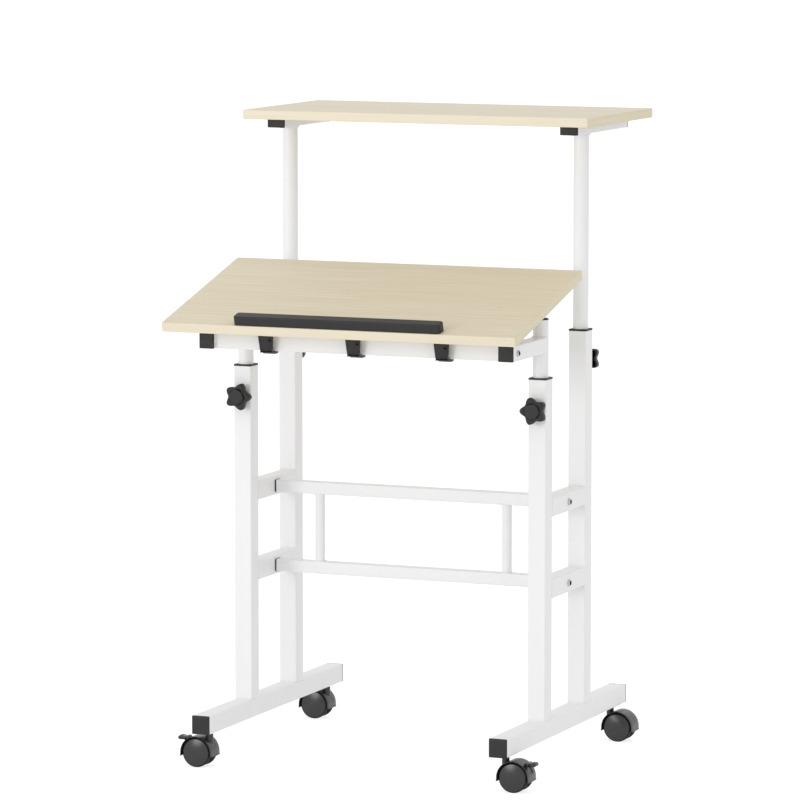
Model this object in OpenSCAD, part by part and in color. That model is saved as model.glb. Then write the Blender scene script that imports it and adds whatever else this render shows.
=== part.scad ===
// Mobile sit-stand desk: two wheeled side frames carry a tilting desk board and a rear shelf,
// each on a pair of round tubes that slide in the posts and are locked by star knobs.
// Millimetres. The desk stands on the plane z = 0, the user sits on the -Y side, and x = 0 is
// the plane between the two side frames.

/* [Side frames] */
// Outside width over the two side frames
frame_w = 541; // [500:1:600]
// Width of the square steel tube used for feet, posts and ties
tube_w = 30; // [28:1:36]
// Wall of every square tube
tube_wall = 1.5; // [1:0.1:2]
// Outside corner radius of every square tube
tube_corner = 2; // [1:0.25:3]
// Length of a foot over its two end caps
foot_len = 538; // [500:1:620]
// Height of the foot's underside above the floor
foot_z = 58; // [55:0.5:70]
// Distance from the front end of a foot to the front post's axis
foot_reach = 180.3; // [150:0.5:200]
// Distance between the axes of the front and rear posts
post_spacing = 177.4; // [160:1:200]
// Height of the front posts above the floor, with their bushings
front_post_top = 636.5; // [560:0.5:680]
// Height of the rear posts above the floor, with their bushings
rear_post_top = 697; // [600:1:740]

/* [Ties and crossbars] */
// Height of the lower tie and lower crossbar axes above the floor
lower_bar_z = 296.5; // [200:0.5:330]
// Distance from the lower to the upper crossbar axis
bar_pitch = 131; // [90:1:160]
// Width of the square tube of the two crossbars
crossbar_w = 20; // [18:1:26]
// Diameter of the two upright rods between the crossbars
rod_d = 16; // [10:1:18]
// Distance between the axes of the two rods
rod_pitch = 328; // [200:1:420]
// Thickness of the plug flange between a tie and a crossbar
plug_flange = 2.5; // [1.5:0.25:4]
// Shank diameter of the frame bolts
bolt_d = 6; // [5:0.5:7]
// Head diameter of the frame bolts
bolt_head_d = 11; // [9:0.5:13]
// Head height of the frame bolts
bolt_head_h = 3.5; // [2.5:0.25:5]

/* [Caps and bushings] */
// Visible thickness of every end cap
cap_t = 3; // [2:0.25:5]
// Depth of the cap's plug inside the tube
cap_plug = 14; // [8:1:20]
// Thickness of the bushing flange on top of a post
bush_t = 3; // [2:0.25:5]
// Depth of the bushing sleeve inside the post
bush_depth = 34; // [20:1:38]
// Wall of the bushing sleeve between the post and the lift tube
bush_wall = 1; // [0.8:0.1:1.5]
// Wall of the round lift tubes
lift_wall = 1.4; // [1:0.1:2]

/* [Knobs] */
// Tip diameter of a star knob
knob_d = 44; // [36:1:52]
// Depth of the hollows between the knob's lobes
knob_dip = 6.5; // [4:0.5:8]
// Number of lobes on a knob
knob_lobes = 5; // [3:1:7]
// Thickness of the knob's star
knob_t = 12.5; // [10:0.5:18]
// Diameter of the raised disc on the knob's face
knob_face_d = 24; // [18:1:28]
// Height of the raised disc on the knob's face
knob_face_t = 3.5; // [1:0.25:4]
// Diameter of the knob's hub behind the star
knob_hub_d = 18; // [14:1:24]
// Length of the knob's hub
knob_hub_len = 5.7; // [3:0.5:10]
// Diameter of the knob's threaded stud
stud_d = 8; // [6:0.5:10]
// Distance from a post's top down to its knob
knob_drop = 51; // [45:1:80]
// Diameter of the welded nut under each knob
boss_d = 14; // [12:0.5:18]
// Height of the welded nut under each knob
boss_t = 4; // [2:0.25:6]

/* [Casters] */
// Wheel diameter
wheel_d = 47.5; // [42:0.5:50]
// Width of each wheel of a pair
wheel_w = 12; // [10:0.2:16]
// Height of the dome on a wheel's face, over its rim
wheel_dome = 3; // [1:0.2:3.4]
// Rounding of a wheel's outer edge
wheel_round = 1.6; // [1:0.1:3]
// Distance from the swivel axis to the wheel axle
caster_trail = 17.4; // [15:0.2:20]
// Distance from each end of a foot to its caster's swivel axis
caster_inset = 35; // [30:1:50]
// Thickness of the housing's middle web between the wheels
web_t = 12; // [11:0.5:16]
// Gap between the web and each wheel
wheel_gap = 0.6; // [0.4:0.1:1.2]
// Gap between the wheels' treads and the hood
hood_gap = 1; // [0.8:0.1:1.6]
// Thickness of the hood
hood_wall = 2; // [1.6:0.1:2.6]
// Depth of the hood along the axle
hood_depth = 36; // [30:0.5:42]
// Distance that the hood reaches below the axle
hood_skirt = 6; // [0:0.5:9]
// Axle diameter
axle_d = 6; // [5:0.5:8]
// Diameter of the swivel stem
stem_d = 8; // [6:0.5:8.5]
// Diameter of the stem's collar and of its socket
collar_d = 12; // [11:0.5:14]
// Height of the stem's collar under the foot
collar_t = 4; // [3:0.25:6]
// Width of a brake lever along the axle
lever_w = 14; // [10:1:18]
// Distance that the brake lever reaches out from its pivot
lever_reach = 14; // [12:0.5:20]
// Thickness of the brake lever
lever_t = 5.5; // [4:0.5:6]
// Place of the brake lever's pivot round the hood, in degrees above the axle
lever_angle = 45; // [40:1:55]

/* [Desk frame] */
// Clear height between a front post and the desk arm at rest
desk_gap = 39; // [20:1:120]
// Width and height of the desk arms
desk_arm_w = 25; // [20:1:26]
// Distance from a desk arm's front end to the lift tube's axis
desk_arm_reach = 151; // [120:1:180]
// Length of the desk's lift tubes inside the front posts
desk_tube_in = 360; // [200:1:420]
// Distance from the arms' front end to the front face of the desk crossbar
desk_bar_setback = 8; // [6:1:20]
// Height of the tilt pivots above the desk arms
pivot_rise = 13.3; // [12.5:0.1:20]
// Distance from the arms' front end back to the tilt pivots
pivot_setback = 19; // [15:0.5:30]

/* [Tilt hinges] */
// Thickness of the hinge plates
hinge_t = 3; // [2:0.25:4]
// Radius of the round ends of the hinge plates
hinge_r = 12; // [9:0.5:12]
// Diameter of the hinge pins
pin_d = 8; // [5:0.5:10]
// Length of the hinge arm under the board
leaf_len = 70; // [50:1:100]
// Width of the hinge flange under the board
leaf_w = 22; // [16:1:30]
// Length of the hinge leg on the desk arm
leg_len = 62; // [50:1:80]

/* [Desk board] */
// Width of the desk board and of the shelf board
board_w = 600; // [560:1:800]
// Depth of the desk board
desk_d = 301; // [280:1:301]
// Thickness of both boards
board_t = 15; // [12:0.5:20]
// Corner radius of both boards
board_corner = 2; // [1:0.5:10]
// Tilt of the desk board at rest, in degrees
desk_tilt = 15.4; // [0:0.1:60]
// Distance from the board's front edge back to the tilt pivots
pivot_inset = 87; // [80:1:110]
// Distance from the tilt pivots up to the board's underside
pivot_drop = 17.4; // [16:0.1:22]
// Width of the stop bar on the desk board
stop_w = 350; // [200:1:400]
// Depth of the stop bar
stop_d = 20; // [12:1:30]
// Height of the stop bar
stop_h = 15; // [8:0.5:20]
// Corner radius of the stop bar, seen from above
stop_corner = 5; // [1:0.5:5]
// Distance from the board's front edge to the stop bar
stop_inset = 2.5; // [2:0.5:20]

/* [Hooks] */
// Distance between neighbouring hooks on the desk crossbar
hook_pitch = 150; // [80:1:180]
// Width of a hook at its foot
hook_w = 20; // [16:1:30]
// Widening of a hook's front plate towards its top
hook_flare = 5.5; // [0:0.5:8]
// Thickness of a hook
hook_t = 3; // [2:0.25:4]
// Clear throat between a hook's front plate and the crossbar
hook_throat = 9; // [6:0.5:10]
// Length of a hook's foot under the crossbar
hook_foot = 17; // [8:0.5:20]

/* [Shelf] */
// Height of the shelf's upper face above the floor at rest
shelf_z = 1041; // [900:1:1150]
// Depth of the shelf board
shelf_d = 301; // [280:1:360]
// Distance from the shelf's front edge back to the rear posts' axes
shelf_front = 89.6; // [70:0.5:90]
// Height of the flat tube of the shelf arms
shelf_arm_h = 15; // [12:0.5:20]
// Distance that the shelf arms reach in front of the rear posts' axes
shelf_arm_front = 57.4; // [40:1:80]
// Distance that the shelf arms reach behind the rear posts' axes
shelf_arm_back = 175.6; // [140:1:190]
// Length of the shelf's lift tubes inside the rear posts
shelf_tube_in = 260; // [200:1:280]

/* [Fits] */
// Radial clearance of a lift tube in its bushing
slide_gap = 0.08; // [0.05:0.01:0.1]
// Radial clearance of pins, studs, stems and axles in their bores
pin_gap = 0.05; // [0.02:0.01:0.08]
// Radial clearance of a bolt or screw in a plain hole
hole_gap = 0.3; // [0.25:0.05:0.5]
// Gap between a moving piece and its stop or neighbour
run_gap = 0.3; // [0.2:0.05:0.5]

/* [Hidden] */

$fn = 48;
corner_step = 30;
cut = 1;

white = [0.93, 0.93, 0.92];
black = [0.13, 0.13, 0.14];
wood = [0.87, 0.79, 0.63];
zinc = [0.66, 0.67, 0.68];

side_x = (frame_w - tube_w) / 2;
foot_top = foot_z + tube_w;
bore_w = tube_w - 2 * tube_wall;
inner_corner = max(tube_corner - tube_wall, 0.5);
lift_d = bore_w - 2 * bush_wall;
upper_bar_z = lower_bar_z + bar_pitch;
crossbar_len = frame_w - 2 * tube_w - 2 * plug_flange;

// Free thread in a plug and past a stem's nut, and thread past a plate
thread_short = 2;
thread_out = 4;

// Heights of the desk frame and of its tilt axis
arm_z = front_post_top + desk_gap;
arm_top = arm_z + desk_arm_w;
pivot_z = arm_top + pivot_rise;
tube_top = pivot_z + pivot_drop - run_gap;

// Depths measured from the front post's axis, then moved so that y = 0 halves the whole desk
pivot_reach = desk_arm_reach - pivot_setback;
desk_front = pivot_reach + pivot_inset * cos(desk_tilt) + (pivot_drop + board_t) * sin(desk_tilt);
shelf_back = post_spacing - shelf_front + shelf_d;
front_y = (desk_front - shelf_back) / 2;
rear_y = front_y + post_spacing;
tie_y = (front_y + rear_y) / 2;
foot_y = front_y - foot_reach;
pivot_y = front_y - pivot_reach;
arm_y = front_y - desk_arm_reach;
desk_bar_y = arm_y + desk_bar_setback;
arm_inner_x = side_x - desk_arm_w / 2;

// Heads of the two bolts that hold the desk crossbar
arm_bolt_head_d = bolt_head_d - 1;
arm_bolt_head_h = bolt_head_h - 0.5;

// Desk hinge, from the arm's inner face towards the middle
leaf_x = arm_inner_x - hinge_t - run_gap;
pin_head_r = pin_d / 2 + 2;
pin_head_t = 2;
screw_d = 4;
screw_head_d = 8;
screw_head_t = 2;
screw_bite = 10;
hole_spare = 1;
bar_clear = 2;
leg_margin = 3;
leaf_end_h = 8;
bracket_screw_d = 5;
bracket_screw_inset = 8;
bracket_screw_y = [
    desk_bar_y + desk_arm_w + bar_clear + bracket_screw_inset,
    pivot_y + leg_len - bracket_screw_inset
];
bracket_screw_z = arm_z + desk_arm_w / 2;
leaf_screw_x = leaf_x - hinge_t - (leaf_w - hinge_t) / 2;
leaf_screw_inset = 8;
leaf_screw_y = [0, leaf_len / 2, leaf_len - leaf_screw_inset];
stop_screw_inset = 30;
stop_screw_x = stop_w / 2 - stop_screw_inset;
stop_skin = 3;
stop_y = stop_inset + stop_d / 2 - pivot_inset;

// Dimple on a hook's front plate
dimple_d = 4;
dimple_rise = 0.72 * desk_arm_w;
dimple_depth = 0.6 * hook_t;

// Casters
axle_z = wheel_d / 2;
hood_in = wheel_d / 2 + hood_gap;
hood_r = hood_in + hood_wall;
wheel_y0 = web_t / 2 + wheel_gap;
wheel_bore = wheel_w - 4;
axle_half = wheel_y0 + wheel_bore - run_gap;
collar_z = foot_z - collar_t;
socket_top = collar_z - run_gap;
socket_floor = axle_z + axle_d;
stem_nut_t = 5;
stem_nut_d = 14;
hub_wall = 4;
rim_w = wheel_w - wheel_dome;
groove_w = 0.6;
dome_steps = 6;
lever_hub_r = 3;
lever_pin_r = 1.5;
lever_waist = 0.5;
lever_tip = 1.5;
ear_t = 2.5;
lever_r = hood_r + run_gap + lever_hub_r;
lever_x = caster_trail + lever_r * cos(lever_angle);
lever_z = axle_z + lever_r * sin(lever_angle);
caster_ys = [foot_y + caster_inset, foot_y + foot_len - caster_inset];

// Shelf
shelf_arm_top = shelf_z - board_t;
shelf_arm_z = shelf_arm_top - shelf_arm_h;
shelf_screw_inset = 25;
shelf_screw_y = [
    rear_y - shelf_arm_front + shelf_screw_inset,
    rear_y + shelf_arm_back - shelf_screw_inset
];

module round_rect(w, h, r) {
    polygon([
        for (c = [[1, 1, 0], [-1, 1, 90], [-1, -1, 180], [1, -1, 270]])
            for (a = [0 : corner_step : 90])
                [c[0] * (w / 2 - r) + r * cos(c[2] + a), c[1] * (h / 2 - r) + r * sin(c[2] + a)]
    ]);
}

module tube(w, h, len) {
    linear_extrude(len) difference() {
        round_rect(w, h, tube_corner);
        round_rect(w - 2 * tube_wall, h - 2 * tube_wall, inner_corner);
    }
}

// Turns a shape that stands along +Z so that it lies along +Y or +X
module along_y() rotate([-90, 0, 0]) children();
module along_x() rotate([0, 90, 0]) children();

// A piece modelled at the right-hand side frame; side -1 mirrors it to the left
module on_side(side) mirror([side < 0 ? 1 : 0, 0, 0]) translate([side_x, 0, 0]) children();
module both_sides() for (side = [-1, 1]) on_side(side) children();

// A moulded end cap: a plate with the tube's outline and a plug inside the tube, along +Z
module end_cap(w, h) {
    linear_extrude(cap_t) round_rect(w, h, tube_corner);
    translate([0, 0, cap_t])
        linear_extrude(cap_plug) round_rect(w - 2 * tube_wall, h - 2 * tube_wall, inner_corner);
}

// A button-head bolt along +Z: the head's underside is at z = 0 and the head is below it
module bolt(len, shank_d, head_d, head_h) {
    difference() {
        translate([0, 0, -head_h]) cylinder(d = head_d, h = head_h);
        translate([0, 0, -head_h - cut]) cylinder(d = shank_d * 0.7, h = head_h * 0.5 + cut, $fn = 6);
    }
    cylinder(d = shank_d, h = len);
}

// Feet

module foot(side) color(white) on_side(side) difference() {
    translate([0, foot_y + cap_t, foot_z + tube_w / 2])
        along_y() tube(tube_w, tube_w, foot_len - 2 * cap_t);
    for (y = caster_ys)
        translate([0, y, foot_z - cut]) cylinder(d = stem_d + 2 * hole_gap, h = tube_wall + 2 * cut);
}

module foot_end_caps() color(black) both_sides() {
    translate([0, foot_y, foot_z + tube_w / 2]) along_y() end_cap(tube_w, tube_w);
    translate([0, foot_y + foot_len, foot_z + tube_w / 2])
        mirror([0, 1, 0]) along_y() end_cap(tube_w, tube_w);
}

// Posts: face is -1 where the knob is on the front, and 1 where it is on the back

module post(side, y, top, face) color(white) on_side(side) difference() {
    translate([0, y, foot_top]) tube(tube_w, tube_w, top - bush_t - foot_top);
    translate([0, y + face * tube_w / 2, top - knob_drop])
        rotate([90, 0, 0]) cylinder(d = stud_d + 2 * hole_gap, h = 4 * tube_wall, center = true);
}

module bushing(y, top) translate([0, y, top - bush_t]) difference() {
    union() {
        linear_extrude(bush_t) round_rect(tube_w, tube_w, tube_corner);
        translate([0, 0, -bush_depth]) linear_extrude(bush_depth) round_rect(bore_w, bore_w, inner_corner);
    }
    translate([0, 0, -bush_depth - cut])
        cylinder(d = lift_d + 2 * slide_gap, h = bush_depth + bush_t + 2 * cut);
}

module post_bushings() color(black) both_sides() {
    bushing(front_y, front_post_top);
    bushing(rear_y, rear_post_top);
}

// Moves a shape that stands along +Z to a knob's place, pointing away from the post
module at_knob(side, rear) {
    face_y = rear ? rear_y + tube_w / 2 : front_y - tube_w / 2;
    knob_z = (rear ? rear_post_top : front_post_top) - knob_drop;
    on_side(side) translate([0, face_y, knob_z]) rotate([rear ? -90 : 90, 0, 0]) children();
}

module knob_nuts() color(zinc) for (side = [-1, 1], rear = [false, true])
    at_knob(side, rear) difference() {
        cylinder(d = boss_d, h = boss_t);
        translate([0, 0, -cut]) cylinder(d = stud_d + 2 * pin_gap, h = boss_t + 2 * cut);
    }

module star_outline() {
    polygon([
        for (a = [0 : 6 : 354])
            let (r = knob_d / 2 - knob_dip / 2 * (1 - cos(knob_lobes * (a - 180))))
                [r * cos(a), r * sin(a)]
    ]);
}

module knob(side, rear) color(black) at_knob(side, rear) {
    hub_z = boss_t + run_gap;
    star_z = hub_z + knob_hub_len;
    translate([0, 0, hub_z]) cylinder(d = knob_hub_d, h = knob_hub_len + cut);
    translate([0, 0, star_z]) linear_extrude(knob_t) star_outline();
    translate([0, 0, star_z + knob_t - cut]) cylinder(d = knob_face_d, h = knob_face_t + cut);
    tip = (tube_w - lift_d) / 2 - run_gap;
    translate([0, 0, -tip]) cylinder(d = stud_d, h = tip + hub_z + cut);
}

// Ties and crossbars

module side_ties(side) color(white) on_side(side) for (z = [lower_bar_z, upper_bar_z]) difference() {
    translate([0, front_y + tube_w / 2, z]) along_y() tube(tube_w, tube_w, post_spacing - tube_w);
    translate([-tube_w / 2 - cut, tie_y, z])
        along_x() cylinder(d = bolt_d + 2 * hole_gap, h = tube_w + 2 * cut);
}

module crossbar(z) color(white) translate([-crossbar_len / 2, tie_y, z])
    along_x() tube(crossbar_w, crossbar_w, crossbar_len);

module crossbar_rods() color(white) for (side = [-1, 1])
    translate([side * rod_pitch / 2, tie_y, lower_bar_z + crossbar_w / 2]) difference() {
        cylinder(d = rod_d, h = bar_pitch - crossbar_w);
        translate([0, 0, -cut]) cylinder(d = rod_d - 2 * lift_wall, h = bar_pitch - crossbar_w + 2 * cut);
    }

module crossbar_plugs() color(black) both_sides() for (z = [lower_bar_z, upper_bar_z])
    translate([-tube_w / 2, tie_y, z]) rotate([0, -90, 0]) difference() {
        union() {
            linear_extrude(plug_flange) round_rect(crossbar_w, crossbar_w, tube_corner);
            translate([0, 0, plug_flange]) linear_extrude(cap_plug)
                round_rect(crossbar_w - 2 * tube_wall, crossbar_w - 2 * tube_wall, inner_corner);
        }
        translate([0, 0, -cut]) cylinder(d = bolt_d + 2 * pin_gap, h = plug_flange + cap_plug + 2 * cut);
    }

module crossbar_bolts() color(zinc) both_sides() for (z = [lower_bar_z, upper_bar_z])
    translate([tube_w / 2, tie_y, z]) rotate([0, -90, 0])
        bolt(tube_w + plug_flange + cap_plug - thread_short, bolt_d, bolt_head_d, bolt_head_h);

// Casters: the swivel axis is the local z axis and the wheels trail towards +X

module at_caster(side, rear) on_side(side) translate([0, caster_ys[rear ? 1 : 0], 0]) children();

// Lays a flat outline, drawn as x and z from the axle, across the caster along Y
module across(depth) translate([caster_trail, 0, axle_z]) rotate([90, 0, 0])
    linear_extrude(depth, center = true) children();

module caster_stems() color(zinc) for (side = [-1, 1], rear = [false, true]) at_caster(side, rear) {
    translate([0, 0, collar_z]) cylinder(d = collar_d, h = collar_t);
    translate([0, 0, socket_floor + run_gap])
        cylinder(d = stem_d, h = foot_z + tube_wall + stem_nut_t + thread_short - socket_floor - run_gap);
    translate([0, 0, foot_z + tube_wall]) difference() {
        cylinder(d = stem_nut_d, h = stem_nut_t, $fn = 6);
        translate([0, 0, -cut]) cylinder(d = stem_d + 2 * pin_gap, h = stem_nut_t + 2 * cut);
    }
}

module above_skirt() translate([-2 * hood_r, -hood_skirt]) square([4 * hood_r, 4 * hood_r]);

module caster_housing(side, rear) color(black) at_caster(side, rear) difference() {
    union() {
        difference() {
            union() {
                across(hood_depth) intersection() {
                    circle(r = hood_r);
                    above_skirt();
                }
                translate([0, 0, axle_z]) cylinder(d = collar_d, h = socket_top - axle_z);
            }
            across(2 * hood_depth) circle(r = hood_in);
        }
        across(web_t) {
            intersection() {
                circle(r = hood_in + hood_wall / 2);
                above_skirt();
            }
            circle(d = axle_d + 2 * hub_wall);
        }
        if (!rear) lever_ears();
    }
    across(2 * hood_depth) circle(d = axle_d + 2 * pin_gap);
    translate([0, 0, socket_floor]) cylinder(d = stem_d + 2 * pin_gap, h = foot_z);
    if (!rear)
        translate([lever_x, 0, lever_z]) rotate([90, 0, 0])
            cylinder(r = lever_pin_r + pin_gap, h = 2 * hood_depth, center = true);
}

// Two ears on the hood that hold the brake lever's pin
module lever_ears() for (y = [-1, 1])
    translate([lever_x, y * (lever_w / 2 + run_gap + ear_t / 2), lever_z]) rotate([90, 0, 0])
        linear_extrude(ear_t, center = true) {
            circle(r = lever_hub_r);
            rotate(lever_angle) translate([hood_in + hood_wall / 2 - lever_r, -lever_hub_r])
                square([lever_r - hood_in - hood_wall / 2, 2 * lever_hub_r]);
        }

module brake_lever(side) color(black) at_caster(side, false) translate([lever_x, 0, lever_z])
    rotate([90, 0, 0]) {
        linear_extrude(lever_w, center = true) {
            circle(r = lever_hub_r);
            top_z = lever_hub_r - lever_waist;
            polygon([
                [0, lever_hub_r],
                [lever_reach / 2, top_z],
                [lever_reach - lever_tip, top_z],
                [lever_reach, top_z - lever_tip],
                [lever_reach, top_z - lever_t + lever_tip],
                [lever_reach - lever_tip, top_z - lever_t],
                [lever_reach / 2, top_z - lever_t],
                [0, -lever_hub_r]
            ]);
        }
        cylinder(r = lever_pin_r, h = lever_w + 2 * run_gap + 2 * ear_t, center = true);
    }

module caster_axle(side, rear) color(zinc) at_caster(side, rear) translate([caster_trail, 0, axle_z])
    rotate([90, 0, 0]) cylinder(d = axle_d, h = 2 * axle_half, center = true);

// A groove parts the wheel's rim from its domed face
module wheel() {
    r = wheel_d / 2;
    bore = axle_d / 2 + pin_gap;
    face_r = r - wheel_round - 2 * groove_w;
    rotate_extrude() polygon([
        [bore, 0],
        [r - wheel_round, 0],
        [r, wheel_round],
        [r, rim_w - wheel_round],
        [r - wheel_round, rim_w],
        [face_r + groove_w, rim_w - groove_w],
        for (step = [0 : dome_steps])
            let (share = 1 - step / dome_steps)
                [face_r * share, rim_w + wheel_dome * (1 - share * share)],
        [0, wheel_bore],
        [bore, wheel_bore]
    ]);
}

module caster_wheels(side, rear) color(black) at_caster(side, rear)
    for (turn = [-90, 90]) translate([caster_trail, 0, axle_z]) rotate([turn, 0, 0])
        translate([0, 0, wheel_y0]) wheel();

// Desk frame: lift tubes, arms and the crossbar that joins the arms

module lift_tube(y, bottom, top) translate([0, y, bottom]) difference() {
    cylinder(d = lift_d, h = top - bottom);
    translate([0, 0, -cut]) cylinder(d = lift_d - 2 * lift_wall, h = top - bottom + 2 * cut);
}

module desk_tube(side) color(white) on_side(side)
    lift_tube(front_y, front_post_top - desk_tube_in, tube_top - cap_t);

module desk_tube_caps() color(black) both_sides() translate([0, front_y, tube_top - cap_t]) {
    cylinder(d = lift_d, h = cap_t);
    translate([0, 0, -cap_plug]) cylinder(d = lift_d - 2 * lift_wall - 2 * pin_gap, h = cap_plug);
}

// The arm's rear end is cut round to meet the lift tube
module desk_arm(side) color(white) on_side(side) difference() {
    translate([0, arm_y + cap_t, arm_z + desk_arm_w / 2])
        along_y() tube(desk_arm_w, desk_arm_w, desk_arm_reach - cap_t - lift_d / 6);
    translate([0, front_y, arm_z - cut]) cylinder(d = lift_d + 2 * pin_gap, h = desk_arm_w + 2 * cut);
    translate([-desk_arm_w, desk_bar_y + desk_arm_w / 2, arm_z + desk_arm_w / 2])
        along_x() cylinder(d = bolt_d + 2 * hole_gap, h = 2 * desk_arm_w);
    for (y = bracket_screw_y)
        translate([-desk_arm_w, y, bracket_screw_z])
            along_x() cylinder(d = bracket_screw_d + 2 * hole_gap, h = desk_arm_w);
}

module desk_arm_caps() color(black) both_sides()
    translate([0, arm_y, arm_z + desk_arm_w / 2]) along_y() end_cap(desk_arm_w, desk_arm_w);

// The crossbar's ends are closed by threaded plates
module desk_crossbar() color(white) translate([0, desk_bar_y + desk_arm_w / 2, arm_z + desk_arm_w / 2]) {
    translate([-arm_inner_x, 0, 0]) along_x() tube(desk_arm_w, desk_arm_w, 2 * arm_inner_x);
    for (side = [-1, 1]) mirror([side < 0 ? 1 : 0, 0, 0])
        translate([arm_inner_x - hinge_t, 0, 0]) along_x() linear_extrude(hinge_t) difference() {
            square(desk_arm_w - tube_wall, center = true);
            circle(d = bolt_d + 2 * pin_gap);
        }
}

module desk_frame_bolts() color(zinc) both_sides() {
    translate([desk_arm_w / 2, desk_bar_y + desk_arm_w / 2, arm_z + desk_arm_w / 2])
        rotate([0, -90, 0]) bolt(desk_arm_w + hinge_t + thread_out, bolt_d, arm_bolt_head_d, arm_bolt_head_h);
    for (y = bracket_screw_y)
        translate([-desk_arm_w / 2 - hinge_t, y, bracket_screw_z]) along_x()
            bolt(hinge_t + tube_wall + thread_out, bracket_screw_d, screw_head_d, screw_head_t);
}

// A hook's foot is screwed under the crossbar, and its front plate rises in front of it
module hook_profile() {
    plate_y = -hook_throat - hook_t;
    bend = hook_t + 1;
    translate([plate_y, -hook_t]) difference() {
        square([hook_throat + hook_t + hook_foot, desk_arm_w + hook_t]);
        translate([hook_t, hook_t]) square([2 * desk_arm_w, 2 * desk_arm_w]);
        difference() {
            square(bend);
            translate([bend, bend]) circle(r = bend);
        }
    }
}

module hook() {
    top_w = hook_w + hook_flare;
    difference() {
        translate([0, desk_bar_y, arm_z]) intersection() {
            translate([-top_w / 2, 0, 0]) rotate([90, 0, 90]) linear_extrude(top_w) hook_profile();
            rotate([90, 0, 0]) linear_extrude(4 * desk_arm_w, center = true) polygon([
                [-hook_w / 2, -2 * hook_t],
                [hook_w / 2, -2 * hook_t],
                [hook_w / 2, 0],
                [top_w / 2, desk_arm_w],
                [-top_w / 2, desk_arm_w],
                [-hook_w / 2, 0]
            ]);
        }
        translate([hook_w / 4, desk_bar_y - hook_throat - hook_t - cut, arm_z + dimple_rise])
            along_y() cylinder(d = dimple_d, h = cut + dimple_depth);
    }
}

module hanging_hooks() color(black) for (i = [-1, 0, 1]) translate([i * hook_pitch, 0, 0]) hook();

// Tilt hinges: brackets on the arms, leaves under the board, pins through both

// Draws an outline of y and z, measured from the pivot, as a plate from x0 towards the middle
module plate_from(x0, t) translate([x0 - t, 0, 0]) rotate([90, 0, 90]) linear_extrude(t) children();

module hinge_bracket(side) color(zinc) mirror([side < 0 ? 1 : 0, 0, 0]) difference() {
    leg_y = desk_bar_y + desk_arm_w - pivot_y + bar_clear;
    leg_top = -pivot_rise - leg_margin;
    leg_bottom = -pivot_rise - desk_arm_w + leg_margin;
    translate([0, pivot_y, pivot_z]) union() {
        plate_from(arm_inner_x, hinge_t) circle(r = hinge_r);
        plate_from(arm_inner_x, hinge_t) polygon([
            [0, 0],
            [hinge_r / 2, hinge_r / 2],
            [leg_y + desk_arm_w / 2, leg_top],
            [leg_len, leg_top],
            [leg_len, leg_bottom],
            [leg_y, leg_bottom],
            [leg_y, bar_clear - pivot_rise],
            [0, bar_clear - pivot_rise]
        ]);
    }
    translate([0, pivot_y, pivot_z]) along_x() cylinder(d = pin_d + 2 * pin_gap, h = frame_w);
    for (y = bracket_screw_y)
        translate([0, y, bracket_screw_z])
            along_x() cylinder(d = bracket_screw_d + 2 * hole_gap, h = frame_w);
}

module hinge_pins() color(zinc) for (side = [-1, 1]) mirror([side < 0 ? 1 : 0, 0, 0])
    translate([0, pivot_y, pivot_z]) along_x() {
        inner = leaf_x - hinge_t - run_gap;
        translate([0, 0, inner]) cylinder(d = pin_d, h = arm_inner_x - inner);
        translate([0, 0, inner - pin_head_t]) cylinder(r = pin_head_r, h = pin_head_t);
        translate([0, 0, arm_inner_x]) cylinder(r = pin_head_r, h = pin_head_t);
    }

// Everything on the tilting board is placed from the pivot axis
module tilted() translate([0, pivot_y, pivot_z]) rotate([desk_tilt, 0, 0]) children();

module hinge_leaf(side) color(zinc) mirror([side < 0 ? 1 : 0, 0, 0]) tilted() {
    plate_from(leaf_x, hinge_t) difference() {
        union() {
            circle(r = hinge_r);
            polygon([
                [-hinge_r, 0],
                [-hinge_r, pivot_drop],
                [leaf_len, pivot_drop],
                [leaf_len, pivot_drop - leaf_end_h],
                [hinge_r, -hinge_r / 2],
                [0, -hinge_r / 2]
            ]);
        }
        circle(d = pin_d + 2 * pin_gap);
    }
    difference() {
        translate([leaf_x - leaf_w, -hinge_r, pivot_drop - hinge_t])
            cube([leaf_w - hinge_t / 2, leaf_len + hinge_r, hinge_t]);
        for (y = leaf_screw_y)
            translate([leaf_screw_x, y, 0]) cylinder(d = screw_d + 2 * hole_gap, h = 2 * pivot_drop);
    }
}

module screw_hole(len) translate([0, 0, -cut]) cylinder(d = screw_d + 2 * pin_gap, h = len + cut);

module desk_board() color(wood) tilted() translate([0, 0, pivot_drop]) difference() {
    translate([0, desk_d / 2 - pivot_inset, 0])
        linear_extrude(board_t) round_rect(board_w, desk_d, board_corner);
    for (side = [-1, 1]) {
        for (y = leaf_screw_y) translate([side * leaf_screw_x, y, 0]) screw_hole(screw_bite + hole_spare);
        translate([side * stop_screw_x, stop_y, 0]) screw_hole(board_t + cut);
    }
}

module laptop_stop() color(black) tilted() translate([0, stop_y, pivot_drop + board_t]) difference() {
    linear_extrude(stop_h) round_rect(stop_w, stop_d, stop_corner);
    for (side = [-1, 1]) translate([side * stop_screw_x, 0, 0]) screw_hole(stop_h - stop_skin);
}

module desk_screws() color(zinc) tilted() for (side = [-1, 1]) {
    for (y = leaf_screw_y)
        translate([side * leaf_screw_x, y, pivot_drop - hinge_t])
            bolt(hinge_t + screw_bite, screw_d, screw_head_d, screw_head_t);
    translate([side * stop_screw_x, stop_y, pivot_drop])
        bolt(board_t + stop_h - stop_skin - hole_spare, screw_d, screw_head_d, screw_head_t);
}

// Shelf: lift tubes, flat arms and the board

module shelf_tube(side) color(white) on_side(side)
    lift_tube(rear_y, rear_post_top - shelf_tube_in, shelf_arm_z);

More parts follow.
